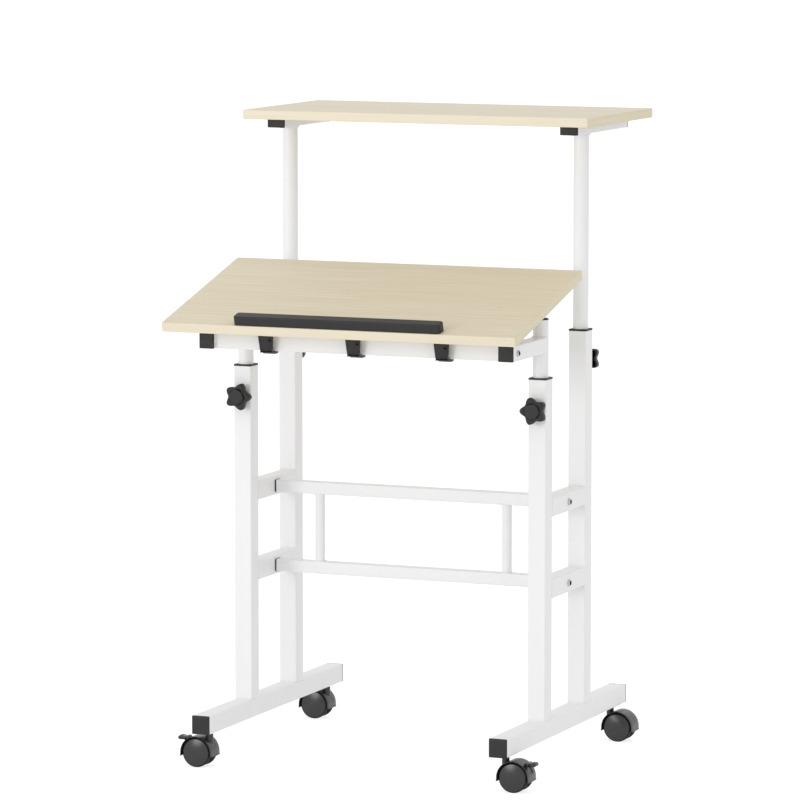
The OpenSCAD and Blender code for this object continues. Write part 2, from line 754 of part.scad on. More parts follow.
module shelf_arm(side) color(white) on_side(side) difference() {
    translate([0, rear_y - shelf_arm_front + cap_t, shelf_arm_z + shelf_arm_h / 2])
        along_y() tube(tube_w, shelf_arm_h, shelf_arm_front + shelf_arm_back - 2 * cap_t);
    for (y = shelf_screw_y)
        translate([0, y, shelf_arm_z - cut]) cylinder(d = screw_d + 2 * hole_gap, h = shelf_arm_h + 2 * cut);
}

module shelf_arm_caps() color(black) both_sides() {
    translate([0, rear_y - shelf_arm_front, shelf_arm_z + shelf_arm_h / 2])
        along_y() end_cap(tube_w, shelf_arm_h);
    translate([0, rear_y + shelf_arm_back, shelf_arm_z + shelf_arm_h / 2])
        mirror([0, 1, 0]) along_y() end_cap(tube_w, shelf_arm_h);
}

module shelf_board() color(wood) translate([0, 0, shelf_arm_top]) difference() {
    translate([0, rear_y - shelf_front + shelf_d / 2, 0])
        linear_extrude(board_t) round_rect(board_w, shelf_d, board_corner);
    for (side = [-1, 1], y = shelf_screw_y)
        translate([side * side_x, y, 0]) screw_hole(screw_bite + hole_spare);
}

module shelf_screws() color(zinc) both_sides() for (y = shelf_screw_y)
    translate([0, y, shelf_arm_z]) bolt(shelf_arm_h + screw_bite, screw_d, screw_head_d, screw_head_t);

foot(-1);  // foot_left
foot(1);  // foot_right
foot_end_caps();
post(-1, front_y, front_post_top, -1);  // front_post_left
post(1, front_y, front_post_top, -1);  // front_post_right
post(-1, rear_y, rear_post_top, 1);  // rear_post_left
post(1, rear_y, rear_post_top, 1);  // rear_post_right
side_ties(-1);  // side_ties_left
side_ties(1);  // side_ties_right
post_bushings();
knob_nuts();
crossbar(upper_bar_z);  // crossbar_upper
crossbar(lower_bar_z);  // crossbar_lower
crossbar_rods();
crossbar_plugs();
crossbar_bolts();
caster_stems();
caster_housing(-1, false);  // caster_housing_fl
caster_housing(1, false);  // caster_housing_fr
caster_housing(-1, true);  // caster_housing_rl
caster_housing(1, true);  // caster_housing_rr
caster_axle(-1, false);  // caster_axle_fl
caster_axle(1, false);  // caster_axle_fr
caster_axle(-1, true);  // caster_axle_rl
caster_axle(1, true);  // caster_axle_rr
caster_wheels(-1, false);  // caster_wheels_fl
caster_wheels(1, false);  // caster_wheels_fr
caster_wheels(-1, true);  // caster_wheels_rl
caster_wheels(1, true);  // caster_wheels_rr
brake_lever(-1);  // brake_lever_left
brake_lever(1);  // brake_lever_right
knob(-1, false);  // knob_fl
knob(1, false);  // knob_fr
knob(-1, true);  // knob_rl
knob(1, true);  // knob_rr
desk_tube(-1);  // desk_tube_left
desk_tube(1);  // desk_tube_right
desk_arm(-1);  // desk_arm_left
desk_arm(1);  // desk_arm_right
desk_arm_caps();
desk_tube_caps();
desk_crossbar();
desk_frame_bolts();
hanging_hooks();
hinge_bracket(-1);  // hinge_bracket_left
hinge_bracket(1);  // hinge_bracket_right
hinge_pins();
desk_board();
laptop_stop();
hinge_leaf(-1);  // hinge_leaf_left
hinge_leaf(1);  // hinge_leaf_right
desk_screws();
shelf_tube(-1);  // shelf_tube_left
shelf_tube(1);  // shelf_tube_right
shelf_arm(-1);  // shelf_arm_left
shelf_arm(1);  // shelf_arm_right
shelf_arm_caps();
shelf_board();
shelf_screws();
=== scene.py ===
"""Mobile sit-stand desk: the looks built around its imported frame.

Two wheeled side frames of powder-coated steel tube carry a tilting desk board and a shelf of
wood-grain laminate. The feet, posts, ties and lift tubes stay the frame's own pieces and get
their finish here; the moulded, spun and cut pieces are modelled here in their place.
"""

import math

import bmesh
import bpy
from bpy.props import FloatProperty, FloatVectorProperty, IntProperty, PointerProperty
from bpy.types import Operator, Panel, PropertyGroup
from mathutils import Matrix, Vector


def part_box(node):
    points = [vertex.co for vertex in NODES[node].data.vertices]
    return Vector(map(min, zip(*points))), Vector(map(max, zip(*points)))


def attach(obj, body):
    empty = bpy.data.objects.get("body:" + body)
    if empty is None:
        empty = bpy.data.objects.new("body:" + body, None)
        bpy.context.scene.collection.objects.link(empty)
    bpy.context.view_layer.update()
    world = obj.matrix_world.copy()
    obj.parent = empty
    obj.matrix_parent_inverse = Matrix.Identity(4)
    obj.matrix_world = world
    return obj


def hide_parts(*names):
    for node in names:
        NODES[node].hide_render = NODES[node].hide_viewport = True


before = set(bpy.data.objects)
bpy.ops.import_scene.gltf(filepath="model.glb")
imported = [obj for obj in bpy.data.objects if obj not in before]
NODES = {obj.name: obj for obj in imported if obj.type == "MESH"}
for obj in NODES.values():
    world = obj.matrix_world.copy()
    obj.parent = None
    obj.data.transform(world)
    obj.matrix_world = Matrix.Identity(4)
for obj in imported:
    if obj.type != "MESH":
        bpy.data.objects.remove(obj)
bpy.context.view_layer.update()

bl_info = {
    "name": "Sit-stand desk",
    "version": (1, 0, 0),
    "blender": (4, 5, 0),
    "location": "View3D > Sidebar > Desk",
    "description": "Dresses the packed frame of a mobile sit-stand desk",
    "category": "Add Mesh",
}

MM = 0.001
MERGE = 0.001 * MM
TURN = 2 * math.pi
QUARTER = TURN / 4
Y_AXIS, Z_AXIS = Vector((0, 1, 0)), Vector((0, 0, 1))
AROUND_AXLE = Matrix.Rotation(QUARTER, 4, "X")
AXLE_BORE, HUB_RADIUS = 3.05 * MM, 7 * MM

CORNERS = ("fl", "fr", "rl", "rr")
SIDES = ("left", "right")
ENDS = ("front", "rear")

COATED_NODES = [f"{tube}_{side}" for side in SIDES for tube in (
    "foot", "front_post", "rear_post", "side_ties", "desk_tube", "desk_arm", "shelf_tube", "shelf_arm")]
COATED_NODES += ["crossbar_upper", "crossbar_lower", "crossbar_rods", "desk_crossbar"]
ZINC_NODES = [f"{fitting}_{side}" for side in SIDES for fitting in ("hinge_bracket", "hinge_leaf")]
ZINC_NODES += [f"caster_axle_{corner}" for corner in CORNERS]
ZINC_NODES += ["knob_nuts", "caster_stems", "hinge_pins", "desk_screws", "shelf_screws"]


def linear(hex_colour):
    """Turns an sRGB hex colour into linear red, green and blue."""
    parts = [int(hex_colour[i:i + 2], 16) / 255 for i in (1, 3, 5)]
    return tuple(c / 12.92 if c <= 0.04045 else ((c + 0.055) / 1.055) ** 2.4 for c in parts)


def length(name, description, millimetres):
    """A length that a user may change."""
    return FloatProperty(name=name, description=description, default=millimetres * MM,
                         min=0, precision=4, unit="LENGTH", subtype="DISTANCE")


def angle(name, description, degrees):
    """An angle that a user may change."""
    return FloatProperty(name=name, description=description, default=math.radians(degrees),
                         subtype="ANGLE", unit="ROTATION")


def power(name, description, watts):
    """A lamp's power that a user may change."""
    return FloatProperty(name=name, description=description, default=watts, min=0, unit="POWER")


def colour(name, description, hex_colour):
    """A colour that a user may change."""
    return FloatVectorProperty(name=name, description=description, default=linear(hex_colour),
                               min=0, max=1, size=3, subtype="COLOR")


# Settings


class DeskFinishes(PropertyGroup):
    """Colours of the desk's finishes"""

    coat: colour("Powder coat", "White coat on the steel tubes", "#F3F3F4")
    coat_shade: colour("Powder coat shade", "The coat where it lies a little thinner", "#EEEEEF")
    plastic: colour("Plastic", "Charcoal moulded plastic", "#373737")
    plastic_shade: colour("Plastic shade", "The plastic's darker flow marks", "#303030")
    # Painted shade: a near-black laid on lips, grooves, slots and hollows that lie in shade; the tread's
    # dark flow marks use it too
    painted_shade_and_tread_dark: colour("Plastic recess", "Painted shade on the plastic's lips, grooves and slots", "#0E0E0F")
    wheel: colour("Wheel face", "Charcoal nylon of the wheel faces", "#2B2B2C")
    wheel_shade: colour("Wheel face shade", "The nylon's darker flow marks", "#262627")
    tread: colour("Tread", "Polyurethane tread of the wheels", "#1B1B1C")
    zinc: colour("Zinc", "Zinc plating on bolts and hinges", "#C3C5C8")
    # Painted shade: the dark colour of the bolts' sockets stands in for the shade inside them
    socket: colour("Bolt socket", "Painted shade in the bolts' sockets", "#3C3D40")
    laminate: colour("Laminate", "Ground colour of the boards' wood grain", "#E1D6BC")
    laminate_dark: colour("Laminate dark", "Darker streaks of the wood grain", "#D6C8A8")
    laminate_light: colour("Laminate light", "Lighter streaks of the wood grain", "#EBE3CF")
    edge: colour("Edge band", "Ground colour of the long edge bands", "#EAE0C9")
    edge_dark: colour("Edge band dark", "Streaks of the long edge bands", "#DFD4B6")
    # Painted shade: the side bands are the same band as the long ones, coloured darker for the shade on the
    # boards' sides
    side_band_shaded: colour("Side edge band", "Ground colour of the side edge bands", "#DFD5B7")
    side_band_shaded_dark: colour("Side edge band dark", "Streaks of the side edge bands", "#D3C7A4")
    floor: colour("Floor", "Pale studio floor", "#F2F2F2")


class DeskSizes(PropertyGroup):
    """Sizes of the pieces modelled here"""

    board_width: length("Board width", "Width of both boards", 600)
    board_depth: length("Board depth", "Depth of both boards", 301)
    board_thickness: length("Board thickness", "Thickness of both boards", 15)
    board_corner: length("Board corner", "Corner radius of both boards", 2)
    board_edge: length("Board edge", "Softening of the boards' edges", 0.9)
    desk_tilt: angle("Desk tilt", "Tilt of the desk board at rest", 15.4)
    stop_width: length("Stop width", "Width of the stop bar", 350)
    stop_depth: length("Stop depth", "Depth of the stop bar", 20)
    stop_height: length("Stop height", "Height of the stop bar", 15)
    stop_corner: length("Stop corner", "Corner radius of the stop bar", 5)
    stop_edge: length("Stop edge", "Rounding of the stop bar's upper edges", 2.2)
    cap_thickness: length("Cap thickness", "Visible thickness of an end cap", 3)
    cap_dome: length("Cap dome", "Rise of an end cap's middle", 0.5)
    bushing_overhang: length("Bushing overhang", "How far a bushing stands out past its post", 0.4)
    bushing_flange: length("Bushing flange", "Thickness of a bushing's flange", 3)
    lift_tube: length("Lift tube", "Diameter of the lift tubes", 25)
    knob_lobes: IntProperty(
        name="Knob lobes", description="Number of lobes on a star knob", default=5, min=3, max=8
    )
    knob_radius: length("Knob radius", "Radius over a star knob's lobes", 22.3)
    knob_dip: length("Knob dip", "Depth of the hollows between the lobes", 6.3)
    knob_face: length("Knob face", "Radius of the raised disc on a knob", 12)
    wheel_dome: length("Wheel dome", "Height of a wheel face's dome over its rim", 3)
    hood_gap: length("Hood gap", "Gap between a wheel and its hood", 1)
    hood_wall: length("Hood wall", "Thickness of a caster's hood", 2)
    hood_depth: length("Hood depth", "Depth of a caster's hood along the axle", 36)
    hood_skirt: length("Hood skirt", "How far a hood reaches below the axle", 6)
    hood_flare: length("Hood flare", "How far a hood's rim flares out", 0.7)
    caster_trail: length("Caster trail", "Distance from the swivel axis to the axle", 17.4)
    lever_width: length("Lever width", "Width of a brake lever", 14)
    hook_width: length("Hook width", "Width of a hook at its foot", 20)
    hook_flare: length("Hook flare", "Widening of a hook towards its top", 5.5)
    hook_lean: length("Hook lean", "How far a hook's front plate leans out at its top", 2)
    hook_thickness: length("Hook thickness", "Thickness of a hook", 3)
    weld: length("Weld", "Radius of a weld bead", 1.6)
    weld_ripple: length("Weld ripple", "Distance between the ripples of a weld bead", 1.8)


class DeskStage(PropertyGroup):
    """Camera and light"""

    camera: FloatVectorProperty(
        name="Camera", description="Place of the camera", subtype="TRANSLATION", unit="LENGTH",
        size=3, default=(3.06419, -7.32581, 1.51997),
    )
    azimuth: angle("Azimuth", "Turn of the camera round the desk", 22.83)
    pitch: angle("Pitch", "How far the camera looks down", 6.7536)
    lens: FloatProperty(name="Lens", description="Focal length in millimetres on a 36 mm frame",
                        default=222.885, min=1, unit="CAMERA")
    ambient: FloatProperty(name="Ambient", description="Strength of the even studio light",
                           default=0.85, min=0)
    key_power: power("Key light", "Power of the soft box at front left", 50)
    fill_power: power("Fill light", "Power of the soft box at the right", 6)


# Mesh tools: every part is a bmesh in metres


def mm(*points):
    """Points given in millimetres, turned to metres."""
    return [(x * MM, y * MM) for x, y in points]


def at(x, y, z):
    """The place of a part that is only moved."""
    return Matrix.Translation((x, y, z))


def turned(amount, axis):
    return Matrix.Rotation(amount, 4, axis)


def facing(direction):
    """Turns a part made along +z so that it points along a direction, with x kept level."""
    return Vector(direction).to_track_quat("Z", "Y").to_matrix().to_4x4()


def bevel(part, geometry, offset, segments, affect="EDGES"):
    bmesh.ops.bevel(part, geom=geometry, offset=offset, offset_type="OFFSET", affect=affect,
                    segments=segments, profile=0.5, material=-1, clamp_overlap=True)


def creases(part, least=40):
    """The edges whose faces meet at more than this angle, in degrees."""
    limit = math.radians(least)
    return [e for e in part.edges if e.is_manifold and e.calc_face_angle() > limit]


def flat_shape(points):
    """Starts a part from one face with corners given as x and y."""
    part = bmesh.new()
    part.faces.new([part.verts.new((x, y, 0)) for x, y in points])
    return part


def thicken(part, height):
    """Extrudes a flat part along z into a closed solid."""
    made = bmesh.ops.extrude_face_region(part, geom=part.faces[:], use_keep_orig=True)
    moved = [g for g in made["geom"] if isinstance(g, bmesh.types.BMVert)]
    bmesh.ops.translate(part, vec=(0, 0, height), verts=moved)
    bmesh.ops.recalc_face_normals(part, faces=part.faces)


def plate(width, depth, height, corner, edge, corner_steps=4, edge_steps=3, top_only=False):
    """A plate round the origin with rounded upright corners and softened rims."""
    part = bmesh.new()
    bmesh.ops.create_cube(part, size=1, matrix=Matrix.Diagonal((width, depth, height, 1)))
    uprights = [e for e in part.edges if abs(e.verts[0].co.z - e.verts[1].co.z) > height / 2]
    bevel(part, uprights, corner, corner_steps)
    rims = [e for e in creases(part) if e.verts[0].co.z > 0 or not top_only]
    bevel(part, rims, edge, edge_steps)
    return part


def spin(part, axis, sweep, steps, full=False):
    """Spins a part round an axis through the origin; a full turn is merged where it closes."""
    bmesh.ops.spin(part, geom=part.verts[:] + part.edges[:], cent=(0, 0, 0), axis=axis, dvec=(0, 0, 0),
                   angle=sweep, steps=steps, use_merge=full, use_duplicate=False)


def lathe(profile, steps=64, closed=False):
    """Spins a profile of radius and height round the z axis."""
    part = bmesh.new()
    verts = [part.verts.new((radius, 0, height)) for radius, height in profile]
    for pair in zip(verts, verts[1:] + verts[:1] if closed else verts[1:]):
        part.edges.new(pair)
    spin(part, Z_AXIS, TURN, steps, full=True)
    bmesh.ops.remove_doubles(part, verts=part.verts, dist=MERGE)
    return part


def drum(radius, half, slope, rise, bore=0, steps=64):
    """A disc or ring round the z axis; its rims' chamfers go in by the slope and along by the rise."""
    return lathe([(bore, -half), (radius - slope, -half), (radius, rise - half), (radius, half - rise),
                  (radius - slope, half), (bore, half)], steps, closed=bore > 0)


def mark(part, test):
    """Gives a part's second finish to the faces whose middle passes a test."""
    for face in part.faces:
        if test(face.calc_center_median()):
            face.material_index = 1


def loft(rings, segments=72, capped=True):
    """Draws a skin through rings, each a height and an outline that turns a bearing into x, y."""
    part = bmesh.new()
    bmesh.ops.create_circle(part, cap_ends=False, segments=segments, radius=1)
    bearings = {v: math.atan2(v.co.y, v.co.x) for v in part.verts}
    loop = part.edges[:]
    first = loop
    for step, (height, outline) in enumerate(rings):
        if step:
            made = bmesh.ops.extrude_edge_only(part, edges=loop)["geom"]
            fresh = {g for g in made if isinstance(g, bmesh.types.BMVert)}
            bearings = {v: bearings[next(o for e in v.link_edges for o in [e.other_vert(v)]
                                         if o in bearings)] for v in fresh}
            loop = [g for g in made if isinstance(g, bmesh.types.BMEdge)
                    and g.verts[0] in fresh and g.verts[1] in fresh]
        for vert, bearing in bearings.items():
            vert.co = (*outline(bearing), height)
    if capped:
        for rim in (first, loop):
            bmesh.ops.contextual_create(part, geom=rim)
    bmesh.ops.remove_doubles(part, verts=part.verts, dist=MERGE)
    return part


def round_outline(radius):
    return lambda bearing: (radius * math.cos(bearing), radius * math.sin(bearing))


def star_outline(radius, dip, lobes):
    """Broad lobes of a star knob, one of them pointing along -x, with narrow hollows between."""
    def outline(bearing):
        share = (1 - math.cos(lobes * (bearing - math.pi))) / 2
        reach = radius - dip * share ** 0.9
        return reach * math.cos(bearing), reach * math.sin(bearing)
    return outline


def square_outline(half_x, corner, half_y=None):
    """A rectangle with rounded corners."""
    half_y = half_y or half_x

    def outline(bearing):
        ray = Vector((math.cos(bearing) * half_x, math.sin(bearing) * half_y)) * math.sqrt(2)
        inner_x, inner_y = half_x - corner, half_y - corner
        core = Vector((max(-inner_x, min(inner_x, ray.x)), max(-inner_y, min(inner_y, ray.y))))
        return core + (ray - core).normalized() * corner
    return outline


def hexagon_outline(radius):
    def outline(bearing):
        sixth = TURN / 6
        reach = radius * math.cos(sixth / 2) / math.cos((bearing + sixth) % sixth - sixth / 2)
        return reach * math.cos(bearing), reach * math.sin(bearing)
    return outline


def cut_below(part, height):
    """Cuts away what is under a height and closes the cut."""
    bmesh.ops.bisect_plane(part, geom=part.verts[:] + part.edges[:] + part.faces[:],
                           plane_co=(0, 0, height), plane_no=(0, 0, 1), clear_inner=True)
    rim = [e for e in part.edges if e.is_boundary]
    bmesh.ops.holes_fill(part, edges=rim, sides=0)


def as_mesh(part, name):
    """Turns a part into a mesh of that name."""
    mesh = bpy.data.meshes.new(name)
    part.to_mesh(mesh)
    part.free()
    return mesh


def add_object(name, data):
    """Puts an object with this mesh, lamp or camera in the scene."""
    made = bpy.data.objects.new(name, data)
    bpy.context.scene.collection.objects.link(made)
    return made


def make_piece(name, parts, body, nodes, *materials, slot="black_plastic", weighted=False, sharp=35):
    """Joins finished parts, each with its place, into one piece and hands it to the frame."""
    whole = bmesh.new()
    for part, place in parts:
        part.transform(place)
        bmesh.ops.recalc_face_normals(part, faces=part.faces)
        step = as_mesh(part, name)
        whole.from_mesh(step)
        bpy.data.meshes.remove(step)
    mesh = as_mesh(whole, name)
    for material in materials:
        mesh.materials.append(material)
    mesh.shade_smooth()
    mesh.set_sharp_from_angle(angle=math.radians(sharp))
    piece = add_object(name, mesh)
    if weighted:
        piece.modifiers.new("weighted normals", "WEIGHTED_NORMAL").keep_sharp = True
    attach(piece, body)
    if nodes:
        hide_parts(*nodes)


def node_box(node):
    """Lowest corner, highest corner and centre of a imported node."""
    low, high = (Vector(corner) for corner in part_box(node))
    return low, high, (low + high) / 2


# Materials: the scale of each pattern is 1000 over its real size in millimetres

COAT, ZINC, SOCKET_SHADE = "powder-coated steel", "zinc-plated steel", "steel in painted socket shade"
ABS, PAINTED_SHADE_ABS = "moulded ABS", "ABS in painted shade"
NYLON, POLYURETHANE = "satin moulded nylon", "moulded polyurethane"

# Light and dark colour, roughness, grain in millimetres and sheen of the moulded plastics. The
# ABS reads as an even soft charcoal, the near-black ABS is painted shade on the lips, grooves,
# slots and hollows, the nylon is glossy enough for clear highlights, and the polyurethane is a
# dull rubbery band whose dark flow marks take the same near-black.
PLASTICS = {
    ABS: ("plastic", "plastic_shade", 0.42, 0.9, 0.18),
    PAINTED_SHADE_ABS: ("painted_shade_and_tread_dark", "painted_shade_and_tread_dark", 0.7, 0.6, 0.1),
    NYLON: ("wheel", "wheel_shade", 0.26, 1.2, 0.5),
    POLYURETHANE: ("tread", "painted_shade_and_tread_dark", 0.6, 1.4, 0.2),
}


def add_node(tree, kind, inputs=None, **settings):
    """Adds a node, sets its properties, and sets or links its sockets."""
    node = tree.nodes.new(kind)
    for name, value in settings.items():
        setattr(node, name, value)
    for name, value in (inputs or {}).items():
        if isinstance(value, bpy.types.NodeSocket):
            tree.links.new(value, node.inputs[name])
        else:
            node.inputs[name].default_value = value
    return node


def start_material(name):
    """A new material and its empty node tree."""
    material = bpy.data.materials.new(name)
    material.use_nodes = True
    material.node_tree.nodes.clear()
    return material, material.node_tree


def rgba(colour_value):
    return (*colour_value, 1)


def close_finish(tree, ground, layers, shader, gloss=None, relief=None):
    """Ends a finish: tints laid over its ground colour where their patterns are bright, a
    roughness that follows a pattern between two values, and a relief with a strength and a depth
    in millimetres."""
    tint = rgba(ground)
    for pattern, over in layers:
        tint = add_node(tree, "ShaderNodeMix", {"Factor": pattern, 6: tint, 7: rgba(over)},
                        data_type="RGBA").outputs[2]
    inputs = {"Base Color": tint, **shader}
    if gloss:
        pattern, least, most = gloss
        inputs["Roughness"] = add_node(tree, "ShaderNodeMapRange", {
            "Value": pattern, "To Min": least, "To Max": most}).outputs[0]
    if relief:
        pattern, strength, depth = relief
        inputs["Normal"] = add_node(tree, "ShaderNodeBump", {
            "Height": pattern, "Strength": strength, "Distance": depth * MM}).outputs[0]
    surface = add_node(tree, "ShaderNodeBsdfPrincipled", inputs)
    add_node(tree, "ShaderNodeOutputMaterial", {"Surface": surface.outputs[0]})


def powder_coat(colours):
    """Powder-coated steel: baked polyester powder, an even white with a fine orange peel that
    breaks the highlights softly."""
    material, tree = start_material(COAT)
    place = add_node(tree, "ShaderNodeTexCoord").outputs["Object"]
    peel = add_node(tree, "ShaderNodeTexNoise", {"Vector": place, "Scale": 1000 / 2.2, "Detail": 2})
    tone = add_node(tree, "ShaderNodeTexNoise", {"Vector": place, "Scale": 1000 / 150, "Detail": 2})
    close_finish(tree, colours.coat_shade, [(tone.outputs[0], colours.coat)], {"IOR": 1.5},
                 gloss=(tone.outputs[0], 0.36, 0.46), relief=(peel.outputs[0], 0.25, 0.06))
    return material


def moulded_plastic(name, light, dark, roughness, grain_mm, sheen_level):
    """Injection-moulded plastic: dyed in the mass, with the fine spark-eroded grain of its
    mould, which breaks its highlights into a wide soft sheen."""
    material, tree = start_material(name)
    place = add_node(tree, "ShaderNodeTexCoord").outputs["Object"]
    grain = add_node(tree, "ShaderNodeTexNoise", {
        "Vector": place, "Scale": 1000 / grain_mm, "Detail": 3, "Roughness": 0.6})
    flow = add_node(tree, "ShaderNodeTexNoise", {"Vector": place, "Scale": 1000 / 14, "Detail": 2})
    close_finish(tree, dark, [(flow.outputs[0], light)], {"IOR": 1.5, "Specular IOR Level": sheen_level},
                 gloss=(grain.outputs[0], roughness - 0.06, roughness + 0.06),
                 relief=(grain.outputs[0], 0.3, 0.05))
    return material


def zinc_plate(colours):
    """Zinc-plated steel: electroplated and passivated, a cool grey metal with a faint
    crystalline mottle in its gloss."""
    material, tree = start_material(ZINC)
    place = add_node(tree, "ShaderNodeTexCoord").outputs["Object"]
    mottle = add_node(tree, "ShaderNodeTexVoronoi", {"Vector": place, "Scale": 1000 / 3})
    haze = add_node(tree, "ShaderNodeTexNoise", {"Vector": place, "Scale": 1000 / 9, "Detail": 3})
    shade = [0.86 * c for c in colours.zinc]
    close_finish(tree, shade, [(haze.outputs[0], colours.zinc)], {"Metallic": 1.0},
                 gloss=(mottle.outputs["Distance"], 0.28, 0.42))
    return material


def socket_shade_steel(colours):
    """Steel in a bolt's socket, painted dark as the shade and dark reflection inside the hole,
    with a little gloss in it."""
    material, tree = start_material(SOCKET_SHADE)
    place = add_node(tree, "ShaderNodeTexCoord").outputs["Object"]
    stain = add_node(tree, "ShaderNodeTexNoise", {"Vector": place, "Scale": 1000 / 1.5})
    shade = [0.6 * c for c in colours.socket]
    close_finish(tree, shade, [(stain.outputs[0], colours.socket)], {"Metallic": 1.0, "Roughness": 0.5})
    return material


def grained(name, ground, dark, along, contrast, roughness, light, tilt):
    """Printed wood grain under melamine or on an edge band: long pale and dark streaks, short
    fibres between them, and a satin gloss. The axis `along` is the way the grain runs."""
    material, tree = start_material(name)
    place = add_node(tree, "ShaderNodeTexCoord").outputs["Object"]
    level = add_node(tree, "ShaderNodeMapping", {"Vector": place, "Rotation": (-tilt, 0, 0)})

    def streaks(long_mm, wide_mm, detail):
        scale = [1000 / wide_mm] * 3
        scale[along] = 1000 / long_mm
        stretch = add_node(tree, "ShaderNodeMapping", {"Vector": level.outputs[0], "Scale": scale})
        return add_node(tree, "ShaderNodeTexNoise", {
            "Vector": stretch.outputs[0], "Scale": 1, "Detail": detail, "Roughness": 0.55,
        }).outputs[0]

    broad, streak, fibre = streaks(700, 38, 2), streaks(170, 4.5, 3), streaks(36, 1.2, 2)
    # Each layer's pattern shows from its first value to its second, up to a share of the contrast
    layers = []
    for pattern, start, end, share, tint in (
            (broad, 0.35, 0.65, 0.6, dark), (streak, 0.5, 0.7, 1, dark),
            (streak, 0.46, 0.3, 1, light), (fibre, 0.3, 0.7, 0.35, dark)):
        mask = add_node(tree, "ShaderNodeMapRange", {
            "Value": pattern, "From Min": start, "From Max": end, "To Max": share * contrast})
        layers.append((mask.outputs[0], tint))
    close_finish(tree, ground, layers, {"IOR": 1.48}, gloss=(fibre, roughness - 0.05, roughness + 0.07),
                 relief=(fibre, 0.2, 0.05))
    return material


def finish(name):
    """The material of that name, made the first time that it is asked for."""
    colours = bpy.context.scene.desk_finishes
    if name in bpy.data.materials:
        return bpy.data.materials[name]
    if name in PLASTICS:
        light, dark, *look = PLASTICS[name]
        return moulded_plastic(name, getattr(colours, light), getattr(colours, dark), *look)
    return {COAT: powder_coat, ZINC: zinc_plate, SOCKET_SHADE: socket_shade_steel}[name](colours)


# Pieces


class DESK_OT_steelwork(Operator):
    """Gives the frame's own tubes their powder coat, its fittings their zinc plating and its plugs
    their plastic"""

    bl_idname = "desk.steelwork"
    bl_label = "Steelwork"

    def execute(self, context):
        for names, look in ((COATED_NODES, COAT), (ZINC_NODES, ZINC), (["crossbar_plugs"], ABS)):
            for name in names:
                materials = NODES[name].data.materials
                materials.clear()
                materials.append(finish(look))
        return {"FINISHED"}


def ripple(part, centre_of, pitch):
    """Swells a bead in even steps along its run, as the arc leaves it."""
    swell = 0.14
    for vert in part.verts:
        centre, run = centre_of(vert.co)
        vert.co = centre + (vert.co - centre) * (1 + swell * math.cos(TURN * run / pitch))


def straight_bead(reach, radius, pitch):
    """A weld bead along x round the origin."""
    part = bmesh.new()
    bmesh.ops.create_cone(part, cap_ends=True, segments=12, radius1=radius, radius2=radius,
                          depth=reach, matrix=turned(QUARTER, "Y"))
    runs = [e for e in part.edges if abs(e.verts[0].co.x - e.verts[1].co.x) > reach / 2]
    bmesh.ops.subdivide_edges(part, edges=runs, cuts=max(2, round(3 * reach / pitch)))
    ripple(part, lambda co: (Vector((co.x, 0, 0)), co.x), pitch)
    for end in (-1, 1):
        tip = [v for v in part.verts if abs(v.co.x - end * reach / 2) < MERGE]
        bmesh.ops.scale(part, vec=(1, 0.5, 0.5), verts=tip)
    return part


def ring_bead(radius, bead, pitch, sweep=TURN, start=0):
    """A weld bead round the z axis, or along a part of the turn from the angle `start`."""
    part = bmesh.new()
    section = turned(start, "Z") @ at(radius, 0, 0) @ turned(QUARTER, "X")
    bmesh.ops.create_circle(part, cap_ends=False, segments=12, radius=bead, matrix=section)
    full = sweep > TURN - MERGE
    spin(part, Z_AXIS, sweep, max(12, round(3 * radius * sweep / pitch)), full)
    if not full:
        bmesh.ops.holes_fill(part, edges=[e for e in part.edges if e.is_boundary], sides=0)

    def centre_of(co):
        level = Vector((co.x, co.y, 0)).normalized() * radius
        return level, math.atan2(co.y, co.x) * radius

    ripple(part, centre_of, TURN * radius / max(1, round(TURN * radius / pitch)))
    return part


class DESK_OT_welds(Operator):
    """Lays the painted weld beads where tubes meet"""

    bl_idname = "desk.welds"
    bl_label = "Weld beads"

    def execute(self, context):
        sizes = context.scene.desk_sizes
        bead, pitch, out = sizes.weld, sizes.weld_ripple, 0.5 * MM
        base, carriage, shelf = [], [], []

        def seam(tube_width, x, y, z):
            """A straight bead over most of a tube's width."""
            return straight_bead(tube_width - 3 * MM, bead, pitch), at(x, y, z)

        for side in SIDES:
            for end in ENDS:
                low, high, middle = node_box(f"{end}_post_{side}")
                for y, way in ((low.y, -1), (high.y, 1)):
                    base.append(seam(high.x - low.x, middle.x, y + way * out, low.z + out))
            low, high, middle = node_box(f"side_ties_{side}")
            tie = high.x - low.x
            for z, up in ((low.z, -1), (low.z + tie, 1), (high.z - tie, -1), (high.z, 1)):
                for y, way in ((low.y, 1), (high.y, -1)):
                    base.append(seam(tie, middle.x, y + way * out, z + up * out))
            # The arm's underside stays clear, because it comes down onto the bushing
            top, tube = node_box(f"desk_arm_{side}")[1].z, node_box(f"desk_tube_{side}")[2]
            round_the_front = ring_bead((sizes.lift_tube + out) / 2, 0.8 * bead, pitch,
                                        math.radians(150), math.radians(195))
            carriage.append((round_the_front, at(tube.x, tube.y, top + out / 2)))
            under, tube = node_box(f"shelf_arm_{side}")[0].z, node_box(f"shelf_tube_{side}")[2]
            ring = ring_bead(sizes.lift_tube / 2 + out, bead, pitch)
            shelf.append((ring, at(tube.x, tube.y, under - out)))
        low, high, middle = node_box("crossbar_rods")
        rod = high.y - low.y
        for x in (low.x + rod / 2, high.x - rod / 2):
            for z, way in ((low.z, 1), (high.z, -1)):
                ring = ring_bead((rod + out) / 2, 0.8 * bead, pitch)
                base.append((ring, at(x, middle.y, z + way * out / 2)))
        for name, parts, body in (("frame_welds", base, "base"), ("desk_welds", carriage, "desk_carriage"),
                                  ("shelf_welds", shelf, "shelf")):
            make_piece(name, parts, body, (), finish(COAT), slot="white_steel", sharp=80)
        return {"FINISHED"}


